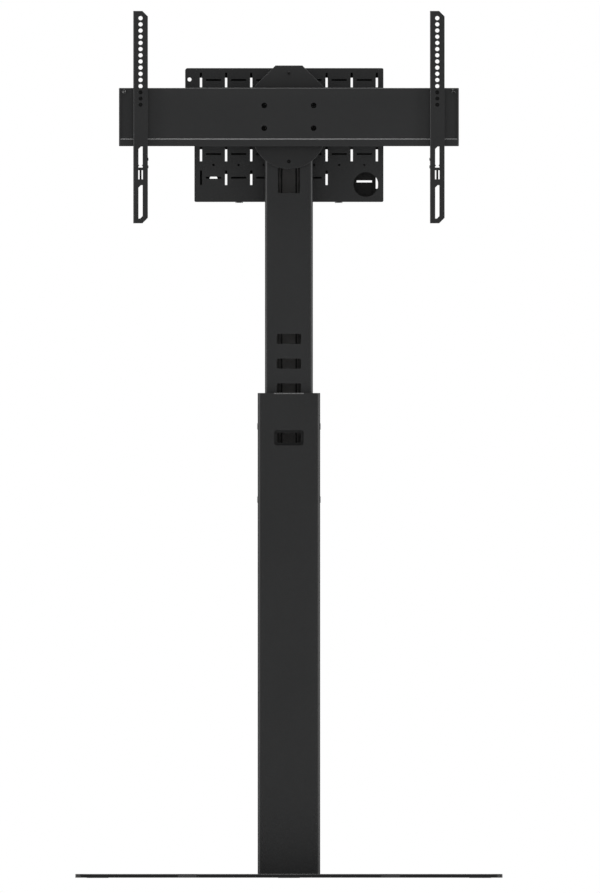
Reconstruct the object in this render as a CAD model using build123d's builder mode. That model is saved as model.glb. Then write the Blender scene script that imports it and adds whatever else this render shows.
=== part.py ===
from build123d import *
from math import sqrt
import os

os.makedirs("parts", exist_ok=True)

# Floor stand for a flat television: a steel floor plate, a two-part telescopic column, a crossbar
# with two hook-on display rails, and a lockable media box behind the column.
# Millimetres. X runs to the right, the display side faces -Y, Z is up. The origin is at the centre
# of the floor plate, on the floor.

# Floor plate
base_width = 864.0
base_depth = 540.0
base_thickness = 7.5
base_corner_radius = 20.0
base_edge_chamfer = 0.8
recess_half_width = 186.0
recess_depth = 39.0
recess_corner_radius = 12.0
pad_length = 44.0
pad_width = 30.0
pad_thickness = 2.0
pad_sunk = 1.5
pad_inset_x = 45.0
pad_inset_y = 35.0

# Column
column_y = 40.0
outer_width = 126.5
outer_depth = 86.0
outer_wall = 3.0
outer_corner = 8.0
outer_height = 972.6
inner_width = 97.0
inner_depth = 56.5
inner_wall = 2.5
inner_corner = 7.0
inner_top_z = 1610.0
foot_plate_thickness = 12.0
foot_bolt_radius = 4.0
foot_bolt_head_radius = 6.8
foot_bolt_head_height = 4.0
foot_bolt_length = 14.0
foot_bolt_spacing_x = 84.0
foot_bolt_spacing_y = 48.0

# Windows and cable openings
outer_window_width = 60.0
outer_window_height = 31.0
outer_window_drop = 90.6
outer_window_corner = 5.0
inner_window_width = 49.5
inner_window_height = 20.6
inner_window_pitch = 50.0
inner_window_count = 5
inner_window_corner = 3.0
tall_window_width = 45.0
tall_window_bottom_z = 1384.6
tall_window_top_z = 1438.0
outlet_width = 60.0
outlet_height = 40.0
outlet_z = 75.0
outlet_corner = 8.0
outlet_flange = 7.0
outlet_flange_thickness = 2.0
outlet_rim = 2.0

# Screw channels along the inside of the inner column's back
channel_x = 15.0
channel_width = 4.0
channel_depth = 8.0
channel_rib = 2.0

# Guides and clamp of the column
bush_height = 40.0
bush_lip_width = 60.0
bush_lip_height = 2.3
glide_floor = 4.0
glide_height = 53.5
glide_stop_gap = 0.5
glide_opening_width = 76.0
glide_opening_depth = 34.0
glide_screw_radius = 1.95
glide_screw_head_radius = 3.6
glide_screw_head_height = 2.0
glide_screw_length = 22.0
clamp_drop = 67.6
clamp_spacing_z = 148.0
clamp_bar_width = 36.0
clamp_bar_drop = 46.6
clamp_bar_length = 190.0
clamp_bar_chamfer = 2.0
clamp_pocket_radius = 6.4
clamp_pocket_depth = 6.5
insert_radius = 5.5
insert_flange_radius = 6.5
insert_flange_thickness = 0.8
insert_length = 8.0
set_screw_radius = 4.0
set_screw_socket = 4.0
set_screw_socket_depth = 4.0

# Head plate and its screws
head_plate_thickness = 6.0
head_plate_half_width = 70.0
head_plate_top_half_width = 27.0
head_plate_shoulder_radius = 14.0
head_plate_top_z = 1643.0
head_plate_arc_radius = 75.0
head_plate_bottom_z = 1433.5
doubler_thickness = 6.0
doubler_width = 82.0
doubler_bottom_z = 1442.0
doubler_top_z = 1604.0
head_screw_radius = 4.0
head_screw_head_radius = 6.5
head_screw_head_height = 3.0
head_screw_spacing_x = 60.0
head_screw_lower_z = 1500.0
head_screw_upper_z = 1580.0
safety_screw_z = 1448.7
safety_screw_radius = 2.5
safety_screw_head_radius = 3.4
safety_screw_sunk = 4.0
safety_screw_head_height = 2.2
cap_thickness = 2.5
cap_tab_width = 30.0
cap_tab_top_z = 1637.0
cap_skirt = 10.0
cap_screw_z = 1627.6
cap_screw_radius = 2.0
cap_screw_head_radius = 3.2
cap_screw_head_height = 1.6

# Crossbar
bar_length = 687.3
bar_bottom_z = 1479.6
bar_height = 117.8
bar_depth = 24.0
bar_wall = 3.0
bar_step_height = 15.5
bar_step_proud = 2.0
bar_lip_lower = 14.0
bar_lip_upper = 13.8
bar_cap_thickness = 3.0
bar_cap_edge = 1.0
bar_cap_plug = 10.0
bar_bolt_spacing_x = 100.0
bar_bolt_lower_z = 1516.0
bar_bolt_upper_z = 1562.0
bar_bolt_radius = 3.0
bar_bolt_head_radius = 5.0
bar_bolt_head_height = 6.0
bar_bolt_access_radius = 5.75
bar_bolt_socket = 5.0
bar_bolt_socket_depth = 3.0
stop_screw_x = 332.8
stop_screw_z = 1590.3
stop_screw_radius = 2.5
stop_screw_head_radius = 4.0
stop_screw_head_height = 2.2
stop_screw_reach = 8.0

# Display rails
rail_x = 300.0
rail_width = 29.5
rail_sheet = 2.5
rail_bottom_z = 1323.7
rail_top_z = 1753.1
rail_standoff = 8.0
rail_corner_cut = 11.0
rail_bend_radius = 2.8
rail_flange_depth = 12.0
rail_arm_depth = 22.0
rail_arm_bottom_z = 1424.0
rail_arm_taper = 14.0
rail_short_flange_bottom_z = 1379.6
rail_short_flange_top_z = 1639.6
hook_thickness = 5.0
hook_engagement = 10.0
hook_rise = 14.0
rail_hole_radius = 4.25
rail_hole_pitch = 12.5
rail_hole_count = 15
display_hole_rows = (0, 8)
rail_first_hole_z = 1738.5
rail_slot_width = 8.4
rail_slot_cut = 5.0
upper_slot_bottom_z = 1436.5
upper_slot_top_z = 1479.0
upper_slot_pinch_z = 1440.8
upper_slot_pinch = 1.8
lower_slot_bottom_z = 1333.4
lower_slot_top_z = 1400.8
pull_opening_width = 9.3
pull_opening_bottom_z = 1412.7
pull_opening_top_z = 1431.0

# Latches of the rails
latch_sheet = 2.5
latch_travel = 10.0
latch_engagement = 9.0
latch_nose_depth = 5.0
latch_body_depth = 11.0
latch_arm_bottom_z = 1431.4
latch_pull_width = 4.0
latch_pull_bottom_z = 1403.0
rivet_lower_z = 1437.8
rivet_upper_z = 1453.2
rivet_radius = 2.5
rivet_head_radius = 3.1
rivet_head_height = 0.9
spring_radius = 2.8
spring_bore_radius = 1.9
spring_tab_z = 1390.0
spring_tab_width = 8.0
spring_tab_depth = 8.0

# Media box
media_width = 382.2
media_bottom_z = 1366.8
media_top_z = 1637.5
media_sheet = 1.5
media_bend_radius = 2.5
media_plate_sheet = 2.0
media_corner = 3.0
lid_depth = 58.0
lid_inset = 1.5
plate_screw_radius = 3.0
plate_screw_head_radius = 5.0
plate_screw_head_height = 4.0
plate_screw_spacing_x = 66.0
plate_screw_lower_z = 1440.0
plate_screw_upper_z = 1588.6
slot_pitch = 50.8
slot_width = 4.4
slot_height = 29.5
cross_slot_length = 31.0
cross_slot_width = 4.0
plate_rows_z = (1613.5, 1563.6, 1513.7, 1463.8, 1415.9)
lid_rows_z = (1603.2, 1554.9, 1506.6, 1458.3, 1408.4)
small_hole_radius = 2.5
plate_small_hole_z = 1441.6
cable_hole_radius = 25.0
cable_hole_x = 155.4
cable_hole_z = 1402.2
lid_hole_radius = 8.0
lid_hole_x = -152.4
lid_hole_z = 1413.0
tab_width = 18.7
tab_height = 60.0
tab_corner = 5.0
tab_overlap = 4.0
tab_hole_radius = 4.0
tab_hole_x = -201.0
tab_hole_z = 1614.5
hinge_x = 100.5
hinge_rise = 2.0
hinge_offset = 4.4
hinge_pin_radius = 2.0
hinge_ear_radius = 4.0
hinge_ear_width = 2.0
hinge_ear_spacing = 13.0
hinge_knuckle_radius = 3.8
hinge_knuckle_width = 10.2
hinge_notch_width = 19.0
hinge_notch_depth = 14.0

# Many-sided outlines keep the repeated small holes and screws light
hole_sides = 16
screw_sides = 12

# Clearances
fixed_gap = 0.1
thread_gap = 0.05
slide_gap = 0.3
pin_gap = 0.05

# Places worked out from the sizes
base_underside = pad_thickness - pad_sunk
base_top = base_underside + base_thickness
base_front = -base_depth / 2
recess_y = base_front + recess_depth
outer_top = base_top + outer_height
outer_window_z = outer_top - outer_window_drop
clamp_upper_z = outer_top - clamp_drop
clamp_lower_z = clamp_upper_z - clamp_spacing_z
clamp_bar_top_z = outer_top - clamp_bar_drop
clamp_bar_bottom_z = clamp_bar_top_z - clamp_bar_length
inner_bottom_z = clamp_bar_bottom_z - glide_stop_gap - glide_height
outer_inside_width = outer_width - 2 * outer_wall
outer_inside_depth = outer_depth - 2 * outer_wall
outer_front = column_y - outer_depth / 2
outer_rear = column_y + outer_depth / 2
inner_front = column_y - inner_depth / 2
inner_rear = column_y + inner_depth / 2
head_plate_front = inner_front - head_plate_thickness
bar_front = head_plate_front - bar_depth
bar_top_z = bar_bottom_z + bar_height
bar_box_bottom = bar_bottom_z + bar_lip_lower
bar_box_top = bar_top_z - bar_lip_upper
bar_body_length = bar_length - 2 * bar_cap_thickness
rail_back = bar_front - rail_standoff
rail_front = rail_back - rail_sheet
media_plate_rear = inner_rear + media_plate_sheet
lid_front = media_plate_rear + slide_gap
lid_rear = lid_front + lid_depth
lid_bottom_z = media_bottom_z + lid_inset
lid_top_z = media_top_z - lid_inset
lid_width = media_width - 2 * lid_inset
hinge_y = media_plate_rear + hinge_offset
hinge_z = media_bottom_z + hinge_rise
plate_screw_middle_z = (plate_screw_lower_z + plate_screw_upper_z) / 2
plate_screw_spacing_z = plate_screw_upper_z - plate_screw_lower_z
head_screw_middle_z = (head_screw_lower_z + head_screw_upper_z) / 2
head_screw_spacing_z = head_screw_upper_z - head_screw_lower_z
bar_bolt_middle_z = (bar_bolt_lower_z + bar_bolt_upper_z) / 2
bar_bolt_spacing_z = bar_bolt_upper_z - bar_bolt_lower_z
media_middle_z = (media_bottom_z + media_top_z) / 2
media_height = media_top_z - media_bottom_z
pad_x = base_width / 2 - pad_inset_x
pad_y = base_depth / 2 - pad_inset_y
pad_places = [
    (-pad_x, -pad_y),
    (pad_x, -pad_y),
    (-pad_x, pad_y),
    (pad_x, pad_y),
    (0, recess_y + pad_inset_y),
    (0, pad_y),
]
latch_nose_front = bar_front + bar_wall + slide_gap
latch_body_front = latch_nose_front - 1.0
rivet_y = latch_body_front + latch_body_depth / 2
spring_y = rail_back + spring_tab_depth
clamp_places = [(column_y, clamp_lower_z), (column_y, clamp_upper_z)]


def level(z):
    """Flat plane at height z, centred on the column."""
    return Plane((0, column_y, z))


def facing(y):
    """Upright plane at depth y seen from the front: a positive extrusion comes forward."""
    return Plane.XZ.offset(-y)


def across(x):
    """Upright plane seen from the right-hand side, at x: local x is depth, local y is height."""
    return Plane.YZ.offset(x)


def rounded_corners(width, height, radius):
    """Twelve points of a rectangle, whose corners are rounded in two steps each."""
    x = width / 2
    y = height / 2
    step = radius * (1 - sqrt(0.5))
    return [
        (radius - x, -y),
        (x - radius, -y),
        (x - step, step - y),
        (x, radius - y),
        (x, y - radius),
        (x - step, y - step),
        (x - radius, y),
        (radius - x, y),
        (step - x, y - step),
        (-x, y - radius),
        (-x, radius - y),
        (step - x, step - y),
    ]


def write_part(piece, name):
    """Label a finished piece and write it to its own file."""
    piece.part.label = name
    export_step(piece.part, f"parts/{name}.step")


# Floor plate
foot_bolt_sunk = foot_bolt_head_height + 0.3
with BuildPart() as base_plate:
    with BuildSketch(Plane.XY.offset(base_underside)) as outline:
        with BuildLine():
            Polyline(
                (-base_width / 2, -base_front),
                (-base_width / 2, base_front),
                (-recess_half_width - recess_depth, base_front),
                (-recess_half_width, recess_y),
                (recess_half_width, recess_y),
                (recess_half_width + recess_depth, base_front),
                (base_width / 2, base_front),
                (base_width / 2, -base_front),
                close=True,
            )
        make_face()
        corner_groups = outline.vertices().group_by(Axis.X)
        fillet(corner_groups[0] + corner_groups[-1], base_corner_radius)
        recess_end = recess_half_width + recess_depth + 1
        recess_corners = outline.vertices().filter_by_position(Axis.X, -recess_end, recess_end)
        fillet(recess_corners, recess_corner_radius)
    extrude(amount=base_thickness)
    chamfer(base_plate.faces().sort_by(Axis.Z)[-1].edges(), base_edge_chamfer)
    with BuildSketch(Plane((0, column_y, base_underside))):
        with GridLocations(foot_bolt_spacing_x, foot_bolt_spacing_y, 2, 2):
            RegularPolygon(foot_bolt_head_radius + 0.4, hole_sides)
    extrude(amount=foot_bolt_sunk, mode=Mode.SUBTRACT)
    with BuildSketch(Plane((0, column_y, base_underside))):
        with GridLocations(foot_bolt_spacing_x, foot_bolt_spacing_y, 2, 2):
            RegularPolygon(foot_bolt_radius + 0.4, screw_sides)
    extrude(amount=base_thickness, mode=Mode.SUBTRACT)
    with BuildSketch(Plane.XY.offset(base_underside)):
        with Locations(*pad_places):
            Rectangle(pad_length + 2 * fixed_gap, pad_width + 2 * fixed_gap)
    extrude(amount=pad_sunk, mode=Mode.SUBTRACT)
write_part(base_plate, "base_plate")

# Anti-slip pads, sunk into the plate's underside
with BuildPart() as floor_pads:
    with BuildSketch(Plane.XY):
        with Locations(*pad_places):
            Rectangle(pad_length, pad_width)
    extrude(amount=pad_thickness)
write_part(floor_pads, "floor_pads")

# Threaded foot plate welded inside the column's lower end
with BuildPart() as foot_plate:
    with BuildSketch(level(base_top)):
        RectangleRounded(
            outer_inside_width - 2 * fixed_gap,
            outer_inside_depth - 2 * fixed_gap,
            outer_corner - outer_wall,
        )
        with GridLocations(foot_bolt_spacing_x, foot_bolt_spacing_y, 2, 2):
            RegularPolygon(foot_bolt_radius + thread_gap, screw_sides, mode=Mode.SUBTRACT)
    extrude(amount=foot_plate_thickness)
write_part(foot_plate, "foot_plate")

# Low-headed bolts from below, sunk into the floor plate and threaded into the foot plate
with BuildPart() as foot_bolts:
    with BuildSketch(Plane((0, column_y, base_underside + foot_bolt_sunk))):
        with GridLocations(foot_bolt_spacing_x, foot_bolt_spacing_y, 2, 2):
            RegularPolygon(foot_bolt_radius, screw_sides)
    extrude(amount=foot_bolt_length)
    with BuildSketch(Plane((0, column_y, base_underside + foot_bolt_sunk))):
        with GridLocations(foot_bolt_spacing_x, foot_bolt_spacing_y, 2, 2):
            RegularPolygon(foot_bolt_head_radius, hole_sides)
    extrude(amount=-foot_bolt_head_height)
    with BuildSketch(Plane((0, column_y, base_underside + 0.3))):
        with GridLocations(foot_bolt_spacing_x, foot_bolt_spacing_y, 2, 2):
            RegularPolygon(foot_bolt_radius * 0.6, 6, major_radius=False)
    extrude(amount=foot_bolt_head_height * 0.6, mode=Mode.SUBTRACT)
write_part(foot_bolts, "foot_bolts")

# Outer column
with BuildPart() as outer_column:
    with BuildSketch(level(base_top)):
        RectangleRounded(outer_width, outer_depth, outer_corner)
        RectangleRounded(
            outer_inside_width, outer_inside_depth, outer_corner - outer_wall, mode=Mode.SUBTRACT
        )
    extrude(amount=outer_height)
    with BuildSketch(facing(outer_front - 1)):
        with Locations((0, outer_window_z)):
            Polygon(*rounded_corners(outer_window_width, outer_window_height, outer_window_corner))
    extrude(amount=-outer_wall - 2, mode=Mode.SUBTRACT)
    with BuildSketch(facing(outer_rear + 1)):
        with Locations((0, outlet_z)):
            Polygon(*rounded_corners(outlet_width, outlet_height, outlet_corner))
    extrude(amount=outer_wall + 2, mode=Mode.SUBTRACT)
    with BuildSketch(facing(outer_front - 1)):
        with Locations((0, outer_top)):
            Rectangle(bush_lip_width + 2 * slide_gap, 2 * (bush_lip_height + slide_gap))
    extrude(amount=-outer_wall - 1, mode=Mode.SUBTRACT)
    with BuildSketch(Plane.YZ):
        with Locations(*clamp_places):
            RegularPolygon(insert_radius + fixed_gap, 6)
    extrude(amount=outer_width, both=True, mode=Mode.SUBTRACT)
write_part(outer_column, "outer_column")

# Plastic frame that lines the cable outlet at the foot
with BuildPart() as outlet_frame:
    with BuildSketch(facing(outer_rear)):
        with Locations((0, outlet_z)):
            Polygon(
                *rounded_corners(
                    outlet_width + 2 * outlet_flange, outlet_height + 2 * outlet_flange, outlet_flange
                )
            )
    extrude(amount=-outlet_flange_thickness)
    chamfer(outlet_frame.faces().sort_by(Axis.Y)[-1].edges(), outlet_flange_thickness * 0.5)
    with BuildSketch(facing(outer_rear)):
        with Locations((0, outlet_z)):
            Polygon(
                *rounded_corners(
                    outlet_width - 2 * fixed_gap, outlet_height - 2 * fixed_gap, outlet_corner
                )
            )
    extrude(amount=outer_wall + 1.5)
    with BuildSketch(facing(outer_rear + outlet_flange_thickness + 1)):
        with Locations((0, outlet_z)):
            Polygon(
                *rounded_corners(
                    outlet_width - 2 * outlet_rim,
                    outlet_height - 2 * outlet_rim,
                    outlet_corner - outlet_rim,
                )
            )
    extrude(amount=outlet_flange_thickness + outer_wall + 4, mode=Mode.SUBTRACT)
write_part(outlet_frame, "outlet_frame")

# Guide bush in the top of the outer column, with a lip that fills the notch in the front wall
with BuildPart() as guide_bush:
    with BuildSketch(level(outer_top - bush_height)):
        RectangleRounded(
            outer_inside_width - 2 * fixed_gap,
            outer_inside_depth - 2 * fixed_gap,
            outer_corner - outer_wall,
        )
    extrude(amount=bush_height)
    with BuildSketch(Plane.XY.offset(outer_top - bush_lip_height)):
        with Locations((0, outer_front + outer_wall)):
            Rectangle(bush_lip_width, 2 * outer_wall)
    extrude(amount=bush_lip_height)
    lip_edges = guide_bush.edges().filter_by(Axis.X).group_by(Axis.Y)[0]
    fillet(lip_edges.sort_by(Axis.Z)[-1], bush_lip_height * 0.6)
    with BuildSketch(level(outer_top - bush_height - 1)):
        RectangleRounded(
            inner_width + 2 * slide_gap, inner_depth + 2 * slide_gap, inner_corner + slide_gap
        )
    extrude(amount=bush_height + 2, mode=Mode.SUBTRACT)
write_part(guide_bush, "guide_bush")

# Threaded inserts with hexagonal bodies in the side walls of the outer column
with BuildPart() as clamp_inserts:
    for side in (-1, 1):
        with BuildSketch(across(side * outer_width / 2)):
            with Locations(*clamp_places):
                RegularPolygon(insert_flange_radius, hole_sides)
        extrude(amount=side * insert_flange_thickness)
        with BuildSketch(across(side * outer_width / 2)):
            with Locations(*clamp_places):
                RegularPolygon(insert_radius, 6)
        extrude(amount=-side * insert_length)
        with BuildSketch(across(side * (outer_width / 2 + insert_flange_thickness))):
            with Locations(*clamp_places):
                RegularPolygon(set_screw_radius + thread_gap, screw_sides)
        extrude(amount=-side * (insert_flange_thickness + insert_length), mode=Mode.SUBTRACT)
write_part(clamp_inserts, "clamp_inserts")

# Set screws that press the clamp bars against the inner column
clamp_bar_outer_x = outer_inside_width / 2 - slide_gap
clamp_bar_inner_x = inner_width / 2 + slide_gap
set_screw_tip_x = clamp_bar_outer_x - clamp_pocket_depth
set_screw_length = outer_width / 2 - set_screw_tip_x
with BuildPart() as clamp_screws:
    for side in (-1, 1):
        with BuildSketch(across(side * set_screw_tip_x)):
            with Locations(*clamp_places):
                RegularPolygon(set_screw_radius, screw_sides)
        extrude(amount=side * set_screw_length)
        with BuildSketch(across(side * outer_width / 2)):
            with Locations(*clamp_places):
                RegularPolygon(set_screw_socket / 2, 6, major_radius=False)
        extrude(amount=-side * set_screw_socket_depth, mode=Mode.SUBTRACT)
write_part(clamp_screws, "clamp_screws")


def make_clamp_bar(side):
    """Pressure bar between the two columns on one side, held by pockets over the inserts."""
    with BuildPart() as bar:
        with BuildSketch(across(side * clamp_bar_inner_x)):
            with Locations((column_y, (clamp_bar_bottom_z + clamp_bar_top_z) / 2)):
                Rectangle(clamp_bar_width, clamp_bar_length)
        extrude(amount=side * (clamp_bar_outer_x - clamp_bar_inner_x))
        chamfer(bar.edges().filter_by(Axis.Y), clamp_bar_chamfer)
        with BuildSketch(across(side * clamp_bar_outer_x)):
            with Locations(*clamp_places):
                RegularPolygon(clamp_pocket_radius, 6)
        extrude(amount=-side * clamp_pocket_depth, mode=Mode.SUBTRACT)
    return bar


write_part(make_clamp_bar(-1), "clamp_bar_left")
write_part(make_clamp_bar(1), "clamp_bar_right")

# Inner column with its front windows and two screw channels along the inside of its back
channel_back = inner_depth / 2 - inner_wall
with BuildPart() as inner_column:
    with BuildSketch(level(inner_bottom_z)):
        RectangleRounded(inner_width, inner_depth, inner_corner)
        RectangleRounded(
            inner_width - 2 * inner_wall,
            inner_depth - 2 * inner_wall,
            inner_corner - inner_wall,
            mode=Mode.SUBTRACT,
        )
        with Locations((-channel_x, channel_back), (channel_x, channel_back)):
            Rectangle(channel_width + 2 * channel_rib, 2 * channel_depth)
            Rectangle(channel_width, 2 * channel_depth, mode=Mode.SUBTRACT)
        with Locations((0, inner_depth / 2)):
            Rectangle(inner_width / 2, 2 * inner_wall)
            Rectangle(
                inner_width,
                2 * channel_depth,
                align=(Align.CENTER, Align.MIN),
                mode=Mode.SUBTRACT,
            )
    extrude(amount=inner_top_z - inner_bottom_z)
    with BuildSketch(facing(inner_front - 1)):
        for row in range(inner_window_count):
            with Locations((0, outer_window_z + row * inner_window_pitch)):
                Polygon(*rounded_corners(inner_window_width, inner_window_height, inner_window_corner))
        with Locations((0, (tall_window_bottom_z + tall_window_top_z) / 2)):
            Polygon(
                *rounded_corners(
                    tall_window_width, tall_window_top_z - tall_window_bottom_z, inner_window_corner
                )
            )
        with Locations((0, safety_screw_z)):
            RegularPolygon(safety_screw_radius + thread_gap, screw_sides)
        with Locations((0, head_screw_middle_z)):
            with GridLocations(head_screw_spacing_x, head_screw_spacing_z, 2, 2):
                RegularPolygon(head_screw_radius + fixed_gap, screw_sides)
    extrude(amount=-inner_wall - 2, mode=Mode.SUBTRACT)
    with BuildSketch(facing(inner_rear + 1)):
        with Locations((0, plate_screw_middle_z)):
            with GridLocations(plate_screw_spacing_x, plate_screw_spacing_z, 2, 2):
                RegularPolygon(plate_screw_radius + thread_gap, screw_sides)
    extrude(amount=inner_wall + 2, mode=Mode.SUBTRACT)
write_part(inner_column, "inner_column")

# Glide shoe around the lower end of the inner column
glide_bottom_z = inner_bottom_z - glide_floor
glide_screw_y = channel_back - channel_depth / 2
with BuildPart() as glide_shoe:
    with BuildSketch(level(glide_bottom_z)):
        RectangleRounded(
            outer_inside_width - 2 * slide_gap,
            outer_inside_depth - 2 * slide_gap,
            outer_corner - outer_wall,
        )
        RectangleRounded(glide_opening_width, glide_opening_depth, inner_corner, mode=Mode.SUBTRACT)
    extrude(amount=glide_floor + glide_height)
    with BuildSketch(level(inner_bottom_z)):
        RectangleRounded(
            inner_width + 2 * fixed_gap, inner_depth + 2 * fixed_gap, inner_corner + fixed_gap
        )
    extrude(amount=glide_height, mode=Mode.SUBTRACT)
    with BuildSketch(Plane((0, column_y + glide_screw_y, glide_bottom_z))):
        with GridLocations(2 * channel_x, 1, 2, 1):
            RegularPolygon(glide_screw_radius + fixed_gap, screw_sides)
    extrude(amount=glide_floor, mode=Mode.SUBTRACT)
write_part(glide_shoe, "glide_shoe")

# Self-tapping screws from below, through the glide shoe into the channels
with BuildPart() as glide_screws:
    with BuildSketch(Plane((0, column_y + glide_screw_y, glide_bottom_z))):
        with GridLocations(2 * channel_x, 1, 2, 1):
            RegularPolygon(glide_screw_radius, screw_sides)
    extrude(amount=glide_screw_length)
    with BuildSketch(Plane((0, column_y + glide_screw_y, glide_bottom_z))):
        with GridLocations(2 * channel_x, 1, 2, 1):
            RegularPolygon(glide_screw_head_radius, screw_sides)
    extrude(amount=-glide_screw_head_height)
write_part(glide_screws, "glide_screws")

# Cap on the inner column, with a tab that the head plate's top screw holds
with BuildPart() as column_cap:
    with BuildSketch(level(inner_top_z)):
        RectangleRounded(inner_width, inner_depth, inner_corner)
    extrude(amount=cap_thickness)
    with BuildSketch(level(inner_top_z)):
        Polygon(
            *rounded_corners(
                inner_width - 2 * inner_wall - 2 * fixed_gap,
                inner_depth - 2 * inner_wall - 2 * fixed_gap,
                inner_corner - inner_wall,
            )
        )
        Rectangle(inner_width - 4 * inner_wall, inner_depth - 4 * inner_wall, mode=Mode.SUBTRACT)
        with Locations((0, inner_depth / 2)):
            Rectangle(2 * (channel_x + channel_width), inner_depth / 2, mode=Mode.SUBTRACT)
    extrude(amount=-cap_skirt)
    with BuildSketch(facing(inner_front)):
        with BuildLine():
            Polyline(
                (-cap_tab_width / 2, inner_top_z),
                (-cap_tab_width / 2, cap_tab_top_z - 6),
                (-cap_tab_width / 2 + 6, cap_tab_top_z),
                (cap_tab_width / 2 - 6, cap_tab_top_z),
                (cap_tab_width / 2, cap_tab_top_z - 6),
                (cap_tab_width / 2, inner_top_z),
                close=True,
            )
        make_face()
        with Locations((0, cap_screw_z)):
            RegularPolygon(cap_screw_radius + thread_gap, screw_sides, mode=Mode.SUBTRACT)
    extrude(amount=-cap_thickness)
    inside_corner = column_cap.edges().filter_by(Axis.X).filter_by_position(
        Axis.Z, inner_top_z + cap_thickness - 0.1, inner_top_z + cap_thickness + 0.1
    ).filter_by_position(Axis.Y, inner_front + cap_thickness - 0.1, inner_front + cap_thickness + 0.1)
    fillet(inside_corner, cap_thickness * 0.6)
write_part(column_cap, "column_cap")

# Head plate: cut-off top corners, round lower end
arc_centre_z = head_plate_bottom_z + head_plate_arc_radius
arc_end_z = arc_centre_z - sqrt(head_plate_arc_radius**2 - head_plate_half_width**2)
shoulder_z = head_plate_top_z - (head_plate_half_width - head_plate_top_half_width)
head_screw_sunk = head_screw_head_height + 0.3
with BuildPart() as head_plate:
    with BuildSketch(facing(inner_front)):
        with BuildLine():
            Polyline(
                (-head_plate_half_width, arc_end_z),
                (-head_plate_half_width, shoulder_z),
                (-head_plate_top_half_width, head_plate_top_z),
                (head_plate_top_half_width, head_plate_top_z),
                (head_plate_half_width, shoulder_z),
                (head_plate_half_width, arc_end_z),
            )
            ThreePointArc(
                (head_plate_half_width, arc_end_z),
                (0, head_plate_bottom_z),
                (-head_plate_half_width, arc_end_z),
            )
        make_face()
        with Locations((0, cap_screw_z)):
            RegularPolygon(cap_screw_radius + fixed_gap, screw_sides, mode=Mode.SUBTRACT)
        with Locations((0, bar_bolt_middle_z)):
            with GridLocations(bar_bolt_spacing_x, bar_bolt_spacing_z, 2, 2):
                RegularPolygon(bar_bolt_radius + thread_gap, screw_sides, mode=Mode.SUBTRACT)
    extrude(amount=head_plate_thickness)
    shoulders = head_plate.edges().filter_by(Axis.Y).filter_by_position(
        Axis.Z, shoulder_z - 0.1, shoulder_z + 0.1
    )
    fillet(shoulders, head_plate_shoulder_radius)
    chamfer(head_plate.faces().sort_by(Axis.Y)[0].outer_wire().edges(), 0.6)
    with BuildSketch(facing(head_plate_front)):
        with Locations((0, head_screw_middle_z)):
            with GridLocations(head_screw_spacing_x, head_screw_spacing_z, 2, 2):
                RegularPolygon(head_screw_head_radius + 0.3, hole_sides)
    extrude(amount=-head_screw_sunk, mode=Mode.SUBTRACT)
    with BuildSketch(facing(head_plate_front)):
        with Locations((0, safety_screw_z)):
            RegularPolygon(safety_screw_head_radius + 0.3, hole_sides)
    extrude(amount=-safety_screw_sunk, mode=Mode.SUBTRACT)
    with BuildSketch(facing(head_plate_front)):
        with Locations((0, head_screw_middle_z)):
            with GridLocations(head_screw_spacing_x, head_screw_spacing_z, 2, 2):
                RegularPolygon(head_screw_radius + fixed_gap, screw_sides)
        with Locations((0, safety_screw_z)):
            RegularPolygon(safety_screw_radius + fixed_gap, screw_sides)
    extrude(amount=-head_plate_thickness, mode=Mode.SUBTRACT)
write_part(head_plate, "head_plate")

# Threaded doubler inside the inner column, behind the head plate
with BuildPart() as head_doubler:
    with BuildSketch(facing(inner_front + inner_wall)):
        with Locations((0, (doubler_bottom_z + doubler_top_z - cap_skirt) / 2)):
            Rectangle(doubler_width, doubler_top_z - cap_skirt - doubler_bottom_z)
        with Locations((0, safety_screw_z)):
            RegularPolygon(safety_screw_radius + thread_gap, screw_sides, mode=Mode.SUBTRACT)
        with Locations((0, head_screw_middle_z)):
            with GridLocations(head_screw_spacing_x, head_screw_spacing_z, 2, 2):
                RegularPolygon(head_screw_radius + thread_gap, screw_sides, mode=Mode.SUBTRACT)
    extrude(amount=-doubler_thickness)
write_part(head_doubler, "head_doubler")

# Screws of the head plate: four under the crossbar, a sunk one below it, one in the cap above it
with BuildPart() as head_screws:
    with BuildSketch(facing(head_plate_front + head_screw_sunk)):
        with Locations((0, head_screw_middle_z)):
            with GridLocations(head_screw_spacing_x, head_screw_spacing_z, 2, 2):
                RegularPolygon(head_screw_head_radius, hole_sides)
    extrude(amount=head_screw_head_height)
    with BuildSketch(facing(head_plate_front + head_screw_sunk)):
        with Locations((0, head_screw_middle_z)):
            with GridLocations(head_screw_spacing_x, head_screw_spacing_z, 2, 2):
                RegularPolygon(head_screw_radius, screw_sides)
    extrude(amount=head_screw_sunk - head_plate_thickness - inner_wall - doubler_thickness)
    with BuildSketch(facing(head_plate_front + safety_screw_sunk)):
        with Locations((0, safety_screw_z)):
            RegularPolygon(safety_screw_head_radius, hole_sides)
    extrude(amount=safety_screw_head_height)
    with BuildSketch(facing(head_plate_front + safety_screw_sunk)):
        with Locations((0, safety_screw_z)):
            RegularPolygon(safety_screw_radius, screw_sides)
    extrude(amount=safety_screw_sunk - head_plate_thickness - inner_wall - doubler_thickness)
    with BuildSketch(facing(head_plate_front)):
        with Locations((0, cap_screw_z)):
            RegularPolygon(cap_screw_head_radius, hole_sides)
    extrude(amount=cap_screw_head_height)
    with BuildSketch(facing(head_plate_front)):
        with Locations((0, cap_screw_z)):
            RegularPolygon(cap_screw_radius, screw_sides)
    extrude(amount=-head_plate_thickness - cap_thickness)
write_part(head_screws, "head_screws")

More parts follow.
